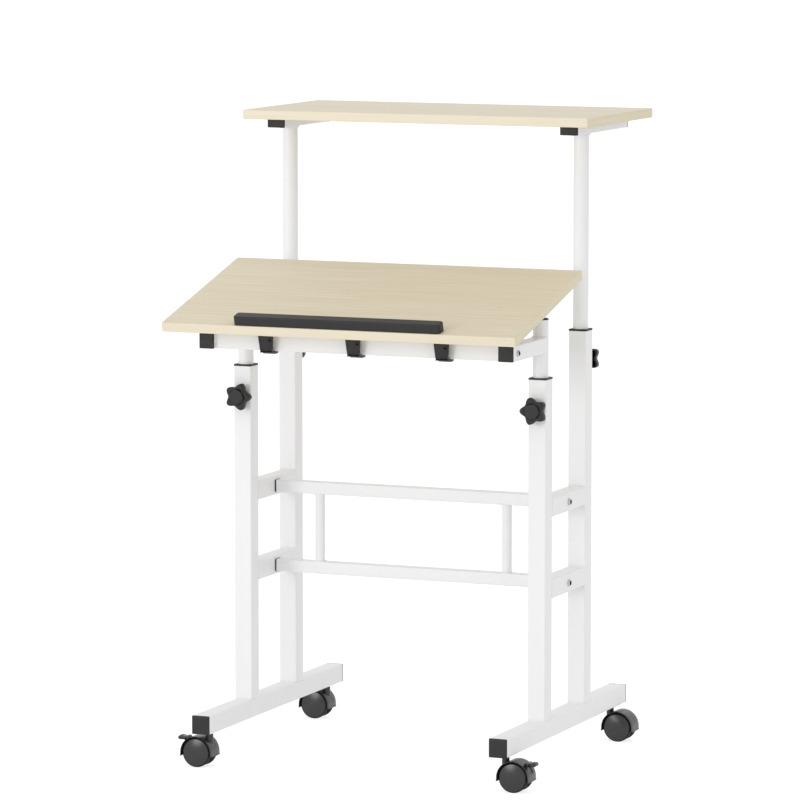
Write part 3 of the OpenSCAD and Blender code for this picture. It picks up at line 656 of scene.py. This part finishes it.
class DESK_OT_boards(Operator):
    """Makes the desk board and the shelf board with their laminate and edge band"""

    bl_idname = "desk.boards"
    bl_label = "Boards"

    def execute(self, context):
        sizes, colours = context.scene.desk_sizes, context.scene.desk_finishes
        # Name, colours, axis of the grain, contrast and roughness of the faces, the long bands
        # and the side bands; the side bands' darker colours are painted shade
        looks = (("melamine laminate on", colours.laminate, colours.laminate_dark, 0, 0.55, 0.42),
                 ("ABS edge band along", colours.edge, colours.edge_dark, 0, 0.4, 0.4),
                 ("ABS edge band across in painted shade", colours.side_band_shaded, colours.side_band_shaded_dark, 1, 0.4, 0.4))
        for node, body, tilt in (("desk_board", "desk_top", sizes.desk_tilt), ("shelf_board", "shelf", 0)):
            part = plate(sizes.board_width, sizes.board_depth, sizes.board_thickness,
                         sizes.board_corner, sizes.board_edge)
            part.normal_update()
            for face in part.faces:
                if abs(face.normal.z) < 0.9:
                    # Faces across the board's width get the side band, painted darker as shade
                    face.material_index = 2 if abs(face.normal.x) > abs(face.normal.y) else 1
            materials = [grained(f"{name} {node}", *look, colours.laminate_light, tilt)
                         for name, *look in looks]
            place = at(*node_box(node)[2]) @ turned(tilt, "X")
            make_piece(node + "_laminated", [(part, place)], body, [node], *materials,
                       slot="wood_laminate", weighted=True)
        return {"FINISHED"}


class DESK_OT_stop_bar(Operator):
    """Makes the stop bar along the desk board's front edge"""

    bl_idname = "desk.stop_bar"
    bl_label = "Stop bar"

    def execute(self, context):
        sizes = context.scene.desk_sizes
        part = plate(sizes.stop_width, sizes.stop_depth, sizes.stop_height, sizes.stop_corner,
                     sizes.stop_edge, corner_steps=6, edge_steps=4, top_only=True)
        place = at(*node_box("laptop_stop")[2]) @ turned(sizes.desk_tilt, "X")
        make_piece("stop_bar", [(part, place)], "desk_top", ["laptop_stop"], finish(ABS), weighted=True)
        return {"FINISHED"}


def end_cap(width, height, sizes, plug):
    """A moulded cap: its outer face, at z = 0, is slightly domed, and its plug is behind."""
    wall, corner, soft = 1.6 * MM, 1.2 * MM, 0.5 * MM
    back, dome = -sizes.cap_thickness, sizes.cap_dome

    def ring(inset, z):
        return z, square_outline(width / 2 - inset, max(corner - inset, 0.3 * MM), height / 2 - inset)

    return loft([
        ring(wall + soft, back - plug), ring(wall, back - plug + 2 * soft), ring(wall, back),
        ring(0.1 * MM, back), ring(0, back + 0.1 * MM), ring(0, -dome - 0.6 * soft),
        ring(0.3 * soft, -dome), ring(soft, -0.8 * dome), ring(4 * soft, -0.4 * dome),
        ring(8 * soft, -0.1 * dome), ring(11 * soft, 0),
    ])


class DESK_OT_end_caps(Operator):
    """Makes the moulded end caps of the feet and arms, and the caps on the desk's lift tubes"""

    bl_idname = "desk.end_caps"
    bl_label = "End caps"

    def execute(self, context):
        sizes = context.scene.desk_sizes
        plug = 13 * MM
        groups = (("foot_end_caps", "foot", "base", (-1, 1)),
                  ("desk_arm_caps", "desk_arm", "desk_carriage", (-1,)),
                  ("shelf_arm_caps", "shelf_arm", "shelf", (-1, 1)))
        for node, tube, body, ways in groups:
            parts = []
            caps_low, caps_high, _ = node_box(node)
            for side in SIDES:
                low, high, middle = node_box(f"{tube}_{side}")
                for way in ways:
                    face = caps_low.y if way < 0 else caps_high.y
                    parts.append((end_cap(high.x - low.x, high.z - low.z, sizes, plug),
                                  at(middle.x, face, middle.z) @ facing((0, way, 0))))
            make_piece(node + "_moulded", parts, body, [node], finish(ABS))
        parts = []
        radius, depth = sizes.lift_tube / 2 / MM, plug / MM
        for side in SIDES:
            high, middle = node_box(f"desk_tube_{side}")[1:]
            cap = lathe(mm((0, 3), (radius - 4, 2.9), (radius - 1.2, 2.5), (radius - 0.3, 1.8), (radius, 1),
                           (radius, 0), (radius - 1.5, 0), (radius - 1.6, -depth), (0, -depth)))
            parts.append((cap, at(middle.x, middle.y, high.z)))
        make_piece("desk_tube_caps_moulded", parts, "desk_carriage", ["desk_tube_caps"], finish(ABS))
        return {"FINISHED"}


class DESK_OT_bushings(Operator):
    """Makes the bushings that guide the lift tubes in the posts"""

    bl_idname = "desk.bushings"
    bl_label = "Bushings"

    def execute(self, context):
        sizes = context.scene.desk_sizes
        parts = []
        bore, sleeve_depth, flange = sizes.lift_tube / 2 + 0.1 * MM, 33 * MM, sizes.bushing_flange
        post_wall, corner, soft = 1.6 * MM, 2.2 * MM, 0.6 * MM
        for side in SIDES:
            for end in ENDS:
                low, high, middle = node_box(f"{end}_post_{side}")
                post = (high.x - low.x) / 2
                half, sleeve = post + sizes.bushing_overhang, post - post_wall
                inside, rim = square_outline(sleeve, corner / 3), square_outline(half, corner)
                softened = square_outline(half - soft, corner - soft)
                part = loft([
                    (-sleeve_depth, round_outline(bore)), (-sleeve_depth, inside), (0, inside),
                    (0, softened), (soft / 2, rim), (flange - soft, rim),
                    (flange - soft / 3, square_outline(half - soft / 3, corner - soft / 3)),
                    (flange, softened), (flange, round_outline(bore + soft)),
                    (flange - soft, round_outline(bore)), (-sleeve_depth, round_outline(bore)),
                ], capped=False)
                parts.append((part, at(middle.x, middle.y, high.z)))
        make_piece("post_bushings_moulded", parts, "base", ["post_bushings"], finish(ABS), sharp=30)
        return {"FINISHED"}


def star_knob():
    """A star knob round the z axis, with the outer face of its raised disc at z = 0."""
    sizes = bpy.context.scene.desk_sizes

    def star(inset):
        return star_outline(sizes.knob_radius - inset * MM, sizes.knob_dip, sizes.knob_lobes)

    def disc(radius):
        return round_outline(radius * MM)

    # Heights in millimetres back from the disc's face: the hub's end, the star's back, the floor
    # of the hollow in it, and the star's front, where the disc rises from it
    hub_end, back, hollow, front = -21.7, -16, -9, -3.5
    face = sizes.knob_face / MM
    rings = [
        (hub_end, disc(8.4)), (hub_end + 0.6, disc(9)), (back, disc(9)), (hollow, disc(9.3)),
        (hollow, star(4)), (back + 0.3, star(2.8)), (back, star(2.5)), (back, star(1.2)),
        (back + 0.4, star(0.4)), (back + 1.2, star(0)), (back + 2.4, star(-0.1)),
        (front - 3.1, star(0)), (front - 1.7, star(0.5)), (front - 0.7, star(1.4)),
        (front - 0.2, star(2.8)), (front, star(4.6)), (front, disc(face + 1.2)),
        (front - 0.5, disc(face + 0.6)), (front - 0.5, disc(face)), (-0.9, disc(face - 0.1)),
        (-0.2, disc(face - 0.5)), (0, disc(face - 1.2)), (-0.1, disc(0.6 * face)), (-0.2, disc(0.3 * face)),
    ]
    part = loft([(height * MM, outline) for height, outline in rings], segments=120)
    hollow_edge = star(2.2)

    def in_shade(spot):
        """True in the groove round the disc and in the hollow back, which are painted near-black as shade.
        """
        reach, height = spot.to_2d().length, spot.z / MM
        edge = Vector(hollow_edge(math.atan2(spot.y, spot.x))).length
        in_groove = front - 0.8 < height < front - 0.1 and reach < (face + 0.8) * MM
        return in_groove or (back + 0.1 < height < hollow + 0.1 and reach < edge)

    # The groove and the hollow back get the near-black of painted shade
    mark(part, in_shade)
    return part


class DESK_OT_knobs(Operator):
    """Makes the star knobs and their studs"""

    bl_idname = "desk.knobs"
    bl_label = "Star knobs"

    def execute(self, context):
        for corner in CORNERS:
            node = f"knob_{corner}"
            low, high, middle = node_box(node)
            end, outer, way = ("front", low.y, -1) if corner[0] == "f" else ("rear", high.y, 1)
            side = "left" if corner[1] == "l" else "right"
            post = node_box(f"{end}_post_{side}")[2]
            place = at(post.x, outer, middle.z) @ turned(-way * QUARTER, "X")
            if side == "left":
                place = place @ Matrix.Diagonal((-1, 1, 1, 1))
            make_piece(node + "_moulded", [(star_knob(), place)], node, [node], finish(ABS),
                       finish(PAINTED_SHADE_ABS), sharp=40)
            stud = lathe(mm((0, -28.2), (3.2, -28.2), (4, -27.4), (4, -21), (0, -21)), steps=32)
            make_piece(f"knob_stud_{corner}", [(stud, place)], node, [node], finish(ZINC),
                       slot="zinc_steel")
        return {"FINISHED"}


def hood_radii(corner):
    """Inner and outer radius of a caster's hood."""
    sizes = bpy.context.scene.desk_sizes
    low, high, _ = node_box(f"caster_wheels_{corner}")
    inner = (high.z - low.z) / 2 + sizes.hood_gap
    return inner, inner + sizes.hood_wall


def lever_pivot():
    """The brake lever's pivot, measured from the axle."""
    reach = hood_radii("fr")[1] + 3.3 * MM
    return Vector((reach * math.cos(math.pi / 4), 0, reach * math.sin(math.pi / 4)))


def recess(part, radius, half, low, high):
    """Sinks a slot into a hood's outer face, between two angles above the axle."""
    chosen = []
    for face in part.faces:
        middle = face.calc_center_median()
        if (low < math.atan2(middle.z, middle.x) < high and abs(middle.y) < half
                and math.hypot(middle.x, middle.z) > radius - 0.2 * MM):
            chosen.append(face)
    bmesh.ops.inset_region(part, faces=chosen, thickness=0.5 * MM, depth=-1.3 * MM)
    # The slot's faces are painted near-black as shade
    for face in chosen:
        face.material_index = 1


def caster_place(corner):
    """The frame of a caster: the axle is its origin and the swivel stem lies towards -x."""
    mirror = -1 if corner[1] == "l" else 1
    return at(*node_box(f"caster_axle_{corner}")[2]) @ Matrix.Diagonal((mirror, 1, 1, 1))


def wheel(radius, outer):
    """One wheel of a pair, spun round z from the web to its outer face; both sizes, and all the
    numbers here, are millimetres."""
    dome = bpy.context.scene.desk_sizes.wheel_dome / MM
    inner, bore, bore_depth, hub, tread = 6.6, AXLE_BORE / MM, 8, HUB_RADIUS / MM, 1.9
    rim, disc, bore_end = outer - dome, radius - tread, inner + bore_depth
    profile = [
        (bore, inner), (hub, inner), (hub + 0.6, inner + 0.5), (disc - 2, inner + 0.5),
        (disc - 1.4, inner), (radius - 1.6, inner), (radius - 0.6, inner + 0.5),
        (radius - 0.2, inner + 1.4), (radius, (inner + rim) / 2), (radius - 0.1, rim - 1.6),
        (radius - 0.4, rim - 0.6), (radius - 0.8, rim - 0.2), (radius - 1.2, rim),
        (disc + 0.45, rim - 0.5), (disc + 0.2, rim - 0.5), (disc, rim + 0.1),
    ]
    for step in range(1, 12):
        share = math.cos(step * QUARTER / 12)
        profile.append((disc * share, rim + 0.1 + (dome - 0.1) * (1 - share ** 2)))
    profile += [(0, outer), (0, bore_end), (bore, bore_end), (bore, inner)]
    part = lathe(mm(*profile), steps=72)
    # What lies round the disc is the tread
    mark(part, lambda spot: spot.to_2d().length > (disc + 0.1) * MM)
    return part


class DESK_OT_wheels(Operator):
    """Makes the casters' twin wheels"""

    bl_idname = "desk.wheels"
    bl_label = "Wheels"

    def execute(self, context):
        for corner in CORNERS:
            low, high, _ = node_box(f"caster_wheels_{corner}")
            radius, outer = (high.z - low.z) / 2 / MM, (high.y - low.y) / 2 / MM
            parts = [(wheel(radius, outer), caster_place(corner) @ turned(way * QUARTER, "X"))
                     for way in (1, -1)]
            make_piece(f"wheels_{corner}", parts, f"wheels_{corner}", [f"caster_wheels_{corner}"],
                       finish(NYLON), finish(POLYURETHANE), sharp=32)
        return {"FINISHED"}


def hood(corner, sizes):
    """The shell over a caster's wheels, round its axle; a front one is sunk for its lever."""
    half, skirt = sizes.hood_depth / 2, sizes.hood_skirt
    slot = sizes.lever_width / 2 + 0.6 * MM
    inner, outer = hood_radii(corner)
    part = flat_shape([(inner, -half), (outer, -half), (outer, -slot), (outer, slot), (outer, half),
                       (inner, half)])
    lips = [v for v in part.verts if abs(v.co.y) > slot + MERGE]
    bevel(part, lips, 0.7 * MM, 3, affect="VERTICES")
    bmesh.ops.delete(part, geom=part.faces[:], context="FACES_ONLY")
    start = math.radians(25)
    bmesh.ops.rotate(part, verts=part.verts, matrix=Matrix.Rotation(start, 3, "Y"))
    spin(part, Y_AXIS, -math.pi - 2 * start, 92)
    cut_below(part, -skirt)
    bmesh.ops.recalc_face_normals(part, faces=part.faces)
    # The inner half of the lip is in deep shade
    mark(part, lambda spot: abs(spot.y) > half - 0.75 * MM
         and math.hypot(spot.x, spot.z) < inner + 0.55 * sizes.hood_wall)
    if corner[0] == "f":
        recess(part, outer, slot, math.radians(14), math.radians(56))
    # Below the axle the hood runs straight down and flares to its rim
    for vert in part.verts:
        if vert.co.z < 0:
            reach = math.hypot(vert.co.x, vert.co.z) + sizes.hood_flare * (vert.co.z / skirt) ** 2
            vert.co.x = math.copysign(reach, vert.co.x)
    return part


def lever_ears(sizes):
    """The two ears that hold a brake lever's pivot, each on its root."""
    parts = []
    for way in (-1, 1):
        pivot = lever_pivot()
        pivot.y = way * (sizes.lever_width / 2 + 1.55 * MM)
        ear = drum(3 * MM, 1.25 * MM, 0.4 * MM, 0.35 * MM, steps=32)
        ear.transform(at(*pivot) @ AROUND_AXLE)
        root = plate(6 * MM, 2.5 * MM, 5.4 * MM, 0.3 * MM, 0.3 * MM)
        root.transform(at(*pivot) @ turned(QUARTER / 2, "Y") @ at(0, 0, -2.6 * MM))
        parts += [ear, root]
    return parts


class DESK_OT_housings(Operator):
    """Makes the casters' swivelling housings"""

    bl_idname = "desk.housings"
    bl_label = "Caster housings"

    def execute(self, context):
        sizes = context.scene.desk_sizes
        web = 6 * MM
        for corner in CORNERS:
            disc = drum(hood_radii(corner)[1] - 1.2 * MM, web, 0.3 * MM, 0.3 * MM)
            disc.transform(AROUND_AXLE)
            cut_below(disc, -sizes.hood_skirt)
            hub = drum(HUB_RADIUS, web, 0.6 * MM, 0.6 * MM, AXLE_BORE)
            hub.transform(AROUND_AXLE)
            axle, housing = node_box(f"caster_axle_{corner}")[2], node_box(f"caster_housing_{corner}")[1]
            top = (housing.z - axle.z) / MM
            neck = lathe(mm((4.1, 8), (6, 8), (6, top - 0.5), (5.6, top), (4.1, top)), 48, closed=True)
            neck.transform(at(-sizes.caster_trail, 0, 0))
            parts = [hood(corner, sizes), disc, hub, neck]
            if corner[0] == "f":
                parts += lever_ears(sizes)
            place = caster_place(corner)
            make_piece(f"caster_housing_{corner}_moulded", [(part, place) for part in parts],
                       f"caster_{corner}", [f"caster_housing_{corner}"], finish(NYLON), finish(PAINTED_SHADE_ABS))
        return {"FINISHED"}


class DESK_OT_brake_levers(Operator):
    """Makes the brake levers of the front casters"""

    bl_idname = "desk.brake_levers"
    bl_label = "Brake levers"

    def execute(self, context):
        width = context.scene.desk_sizes.lever_width
        for side in SIDES:
            # Seen along the axle: the pivot is the origin and the pedal points outwards
            part = flat_shape(mm(
                (0, 3), (5, 2.4), (8.4, 3.3), (12.4, 3.2), (13.8, 2), (14, -1.4), (12.8, -2.7),
                (9, -3), (5, -2.8), (0, -3), (-2.4, -1.8), (-3, 0), (-2.4, 1.8)))
            bevel(part, part.verts[:], 1.1 * MM, 3, affect="VERTICES")
            thicken(part, width)
            bevel(part, creases(part, 50), 1 * MM, 3)
            bmesh.ops.translate(part, verts=part.verts, vec=(0, 0, -width / 2))
            parts = [part]
            for step in range(3):
                ridge = plate(0.8 * MM, 1 * MM, width - 4 * MM, 0.2 * MM, 0.2 * MM)
                ridge.transform(at((8.2 + 1.6 * step) * MM, 3.2 * MM, 0))
                parts.append(ridge)
            place = caster_place("f" + side[0]) @ at(*lever_pivot()) @ AROUND_AXLE
            make_piece(f"brake_lever_{side}_moulded", [(part, place) for part in parts], f"lever_{side}",
                       [f"brake_lever_{side}"], finish(NYLON))
        return {"FINISHED"}


def hook(depth, height, sizes):
    """A hook from its side outline: x is the depth behind the plate's foot, y the height and z
    its width, which grows towards the top."""
    thick, lean = sizes.hook_thickness, sizes.hook_lean
    lip, sole, heel, groove = 1 * MM, 1.8 * MM, 1.6 * MM, 1.3 * MM
    top_width = sizes.hook_width + sizes.hook_flare
    part = flat_shape([
        (-lip, thick - sole), (0.28 * depth, thick - sole), (0.45 * depth, -heel),
        (0.86 * depth, -heel), (depth, thick), (3 * thick, thick), (1.7 * thick, 1.5 * thick),
        (thick, 3 * thick), (thick - lean, height), (-lean, height), (0, thick + groove),
        (groove, thick + groove), (groove, thick), (-lip, thick)])
    bevel(part, part.verts[:], 0.25 * MM, 2, affect="VERTICES")
    thicken(part, top_width)
    bevel(part, creases(part, 60), 0.3 * MM, 2)

    def in_shade(spot):
        """True in the groove over the sole and on the sole's underside, which are painted near-black as
        shade.
        """
        return spot.y < -0.5 * heel or (0.1 * MM < spot.x < groove + 0.1 * MM
                                        and thick - 0.1 * MM < spot.y < thick + groove + 0.1 * MM)

    # The groove and the sole's underside get the near-black of painted shade
    mark(part, in_shade)
    for vert in part.verts:
        share = max(0, vert.co.y - thick) / (height - thick)
        wide = sizes.hook_width + sizes.hook_flare * share
        vert.co.z = (vert.co.z - top_width / 2) * wide / top_width
    return part


def dimple():
    """The dimple near a hook's top, with a low collar round it."""
    part = lathe(mm((0, 0.05), (2.4, 0.05), (2.6, 0.4), (3, 0.4), (3.3, 0), (0, -0.5)), steps=24)
    # The dimple's inside is painted near-black as shade
    mark(part, lambda spot: spot.to_2d().length < 2.5 * MM)
    return part


class DESK_OT_hooks(Operator):
    """Makes the three hooks on the desk crossbar"""

    bl_idname = "desk.hooks"
    bl_label = "Hooks"

    def execute(self, context):
        sizes = context.scene.desk_sizes
        low, high, middle = node_box("hanging_hooks")
        thick, lean = sizes.hook_thickness, sizes.hook_lean
        height = high.z - low.z
        spread = (high.x - low.x - (sizes.hook_width + sizes.hook_flare)) / 2
        rise = 0.79 * height
        front = low.y - lean * (rise - thick) / (height - thick)
        # Turns a hook so that its depth runs back, its height up and its width across
        upright = Matrix(((0, 0, 1, 0), (1, 0, 0, 0), (0, 1, 0, 0), (0, 0, 0, 1)))
        parts = []
        for step in (-1, 0, 1):
            x = middle.x + step * spread
            spot = at(x + 0.37 * sizes.hook_width, front, low.z + rise)
            parts += [(dimple(), spot @ facing((0, -height, lean))),
                      (hook(high.y - low.y, height, sizes), at(x, low.y, low.z) @ upright)]
        make_piece("hooks_moulded", parts, "desk_carriage", ["hanging_hooks"], finish(ABS),
                   finish(PAINTED_SHADE_ABS))
        return {"FINISHED"}


def button_bolt(head, height, shank, reach):
    """A button-head bolt with a hexagon socket: the head's underside is at z = 0, the shank
    runs down and the dome rises."""
    socket = hexagon_outline(0.33 * head)
    bolt = loft([
        (0.1 * height, socket), (0.96 * height, socket), (height, round_outline(0.38 * head)),
        (0.97 * height, round_outline(0.41 * head)), (0.78 * height, round_outline(0.45 * head)),
        (0.42 * height, round_outline(0.49 * head)), (0.1 * height, round_outline(0.5 * head)),
        (0, round_outline(0.49 * head)), (0, round_outline(shank / 2)), (-reach, round_outline(shank / 2)),
    ], segments=48)
    # The socket's inside is painted dark as shade
    mark(bolt, lambda spot: spot.z > 0 and spot.to_2d().length < 0.34 * head)
    return bolt


def side_bolt(x, y, z, way, *measures):
    """A button-head bolt whose head's underside is at this spot and faces the way of x."""
    return button_bolt(*measures), at(x, y, z) @ turned(way * QUARTER, "Y")


class DESK_OT_bolts(Operator):
    """Makes the button-head bolts of the crossbars and the desk frame"""

    bl_idname = "desk.bolts"
    bl_label = "Bolts"

    def execute(self, context):
        parts = []
        low, high, middle = node_box("crossbar_bolts")
        head, height = 11 * MM, 3.5 * MM
        for z in (low.z + head / 2, high.z - head / 2):
            for x, way in ((low.x, -1), (high.x, 1)):
                parts.append(side_bolt(x - way * height, middle.y, z, way, head, height, 6 * MM, 44 * MM))
        steels = finish(ZINC), finish(SOCKET_SHADE)
        make_piece("crossbar_bolts_domed", parts, "base", ["crossbar_bolts"], *steels, slot="zinc_steel")
        parts = []
        low, high, _ = node_box("desk_frame_bolts")
        bar_high, bar = node_box("desk_crossbar")[1:]
        bracket = node_box("hinge_bracket_right")[1]
        head, height, small_head, small_height = 10 * MM, 3 * MM, 8 * MM, 2 * MM
        # The bracket's screws: the first behind the crossbar, the second at the bracket's end
        screws = (bar_high.y + 10 * MM, bracket.y - small_head)
        for x, way in ((low.x, -1), (high.x, 1)):
            parts.append(side_bolt(x - way * height, bar.y, bar.z, way, head, height, 6 * MM, 31 * MM))
            for y in screws:
                parts.append(side_bolt(way * (bar_high.x - 3 * MM), y, bar.z, -way,
                                       small_head, small_height, 5 * MM, 8 * MM))
        make_piece("desk_frame_bolts_domed", parts, "desk_carriage", ["desk_frame_bolts"], *steels,
                   slot="zinc_steel")
        return {"FINISHED"}


# Stage


def seen_rays(tree):
    """1 for a ray that shows what it meets: straight, in a reflection or through glass."""
    rays = add_node(tree, "ShaderNodeLightPath").outputs
    seen = rays["Is Camera Ray"]
    for kind in ("Is Glossy Ray", "Is Transmission Ray"):
        seen = add_node(tree, "ShaderNodeMath", {0: seen, 1: rays[kind]}, operation="MAXIMUM").outputs[0]
    return seen


def floor_material(pale):
    """Matt studio floor: seen straight or in a reflection it is lifted to white, and keeps a
    soft trace of the desk's shadow."""
    material, tree = start_material("matt studio floor")
    plain = add_node(tree, "ShaderNodeBsdfDiffuse", {"Color": rgba(pale)})
    faint = add_node(tree, "ShaderNodeBsdfDiffuse", {"Color": (0.42, 0.42, 0.42, 1)})
    glow = add_node(tree, "ShaderNodeEmission", {"Color": (1, 1, 1, 1), "Strength": 0.76})
    lifted = add_node(tree, "ShaderNodeAddShader", {0: faint.outputs[0], 1: glow.outputs[0]})
    mixed = add_node(tree, "ShaderNodeMixShader", {
        0: seen_rays(tree), 1: plain.outputs[0], 2: lifted.outputs[0]})
    add_node(tree, "ShaderNodeOutputMaterial", {"Surface": mixed.outputs[0]})
    return material


def soft_box(name, place, size, watts, target):
    """A square soft box that points at the target."""
    light = bpy.data.lights.new(name, "AREA")
    light.shape = "SQUARE"
    light.size = size
    light.energy = watts
    lamp = add_object(name, light)
    lamp.location = place
    lamp.rotation_euler = (Vector(target) - Vector(place)).to_track_quat("-Z", "Y").to_euler()


class DESK_OT_stage(Operator):
    """Sets the floor, the light and the camera"""

    bl_idname = "desk.stage"
    bl_label = "Stage"

    def execute(self, context):
        scene, stage = context.scene, context.scene.desk_stage
        scene.view_settings.view_transform = "Standard"

        plane = bmesh.new()
        bmesh.ops.create_circle(plane, cap_ends=True, segments=96, radius=60)
        floor = add_object("floor", as_mesh(plane, "floor"))
        floor.data.materials.append(floor_material(scene.desk_finishes.floor))

        world = bpy.data.worlds.new("white studio")
        scene.world = world
        world.use_nodes = True
        tree = world.node_tree
        tree.nodes.clear()
        white = (1, 1, 1, 1)
        even = add_node(tree, "ShaderNodeBackground", {"Color": white, "Strength": stage.ambient})
        backdrop = add_node(tree, "ShaderNodeBackground", {"Color": white, "Strength": 1.0})
        mixed = add_node(tree, "ShaderNodeMixShader", {
            0: seen_rays(tree), 1: even.outputs[0], 2: backdrop.outputs[0]})
        add_node(tree, "ShaderNodeOutputWorld", {"Surface": mixed.outputs[0]})

        middle = (0, 0, 0.6)
        soft_box("key soft box", (-2, -4.6, 1.4), 1.5, stage.key_power, middle)
        soft_box("fill soft box", (3.4, -1.8, 2.2), 2.2, stage.fill_power, middle)

        camera = bpy.data.cameras.new("camera")
        camera.sensor_width = 36
        camera.sensor_fit = "HORIZONTAL"
        camera.lens = stage.lens
        camera.clip_end = 200
        scene.camera = add_object("camera", camera)
        scene.camera.location = stage.camera
        scene.camera.rotation_euler = (QUARTER - stage.pitch, 0, stage.azimuth)
        return {"FINISHED"}


SETTINGS = {"desk_finishes": DeskFinishes, "desk_sizes": DeskSizes, "desk_stage": DeskStage}
OPERATORS = (
    DESK_OT_steelwork, DESK_OT_welds, DESK_OT_boards, DESK_OT_stop_bar, DESK_OT_end_caps,
    DESK_OT_bushings, DESK_OT_knobs, DESK_OT_wheels, DESK_OT_housings, DESK_OT_brake_levers,
    DESK_OT_hooks, DESK_OT_bolts, DESK_OT_stage,
)


class DESK_PT_pieces(Panel):
    """Lists the desk's pieces and settings"""

    bl_idname = "DESK_PT_pieces"
    bl_label = "Sit-stand desk"
    bl_space_type = "VIEW_3D"
    bl_region_type = "UI"
    bl_category = "Desk"

    def draw(self, context):
        for operator in OPERATORS:
            self.layout.operator(operator.bl_idname)
        for name, group in SETTINGS.items():
            box = self.layout.box()
            for setting in group.__annotations__:
                box.prop(getattr(context.scene, name), setting)


def register():
    for group in (*SETTINGS.values(), *OPERATORS, DESK_PT_pieces):
        bpy.utils.register_class(group)
    for name, group in SETTINGS.items():
        setattr(bpy.types.Scene, name, PointerProperty(type=group))


def unregister():
    for name in SETTINGS:
        delattr(bpy.types.Scene, name)
    for group in reversed((*SETTINGS.values(), *OPERATORS, DESK_PT_pieces)):
        bpy.utils.unregister_class(group)


def main():
    register()
    for operator in OPERATORS:
        family, name = operator.bl_idname.split(".")
        getattr(getattr(bpy.ops, family), name)()


if __name__ == "__main__":
    main()
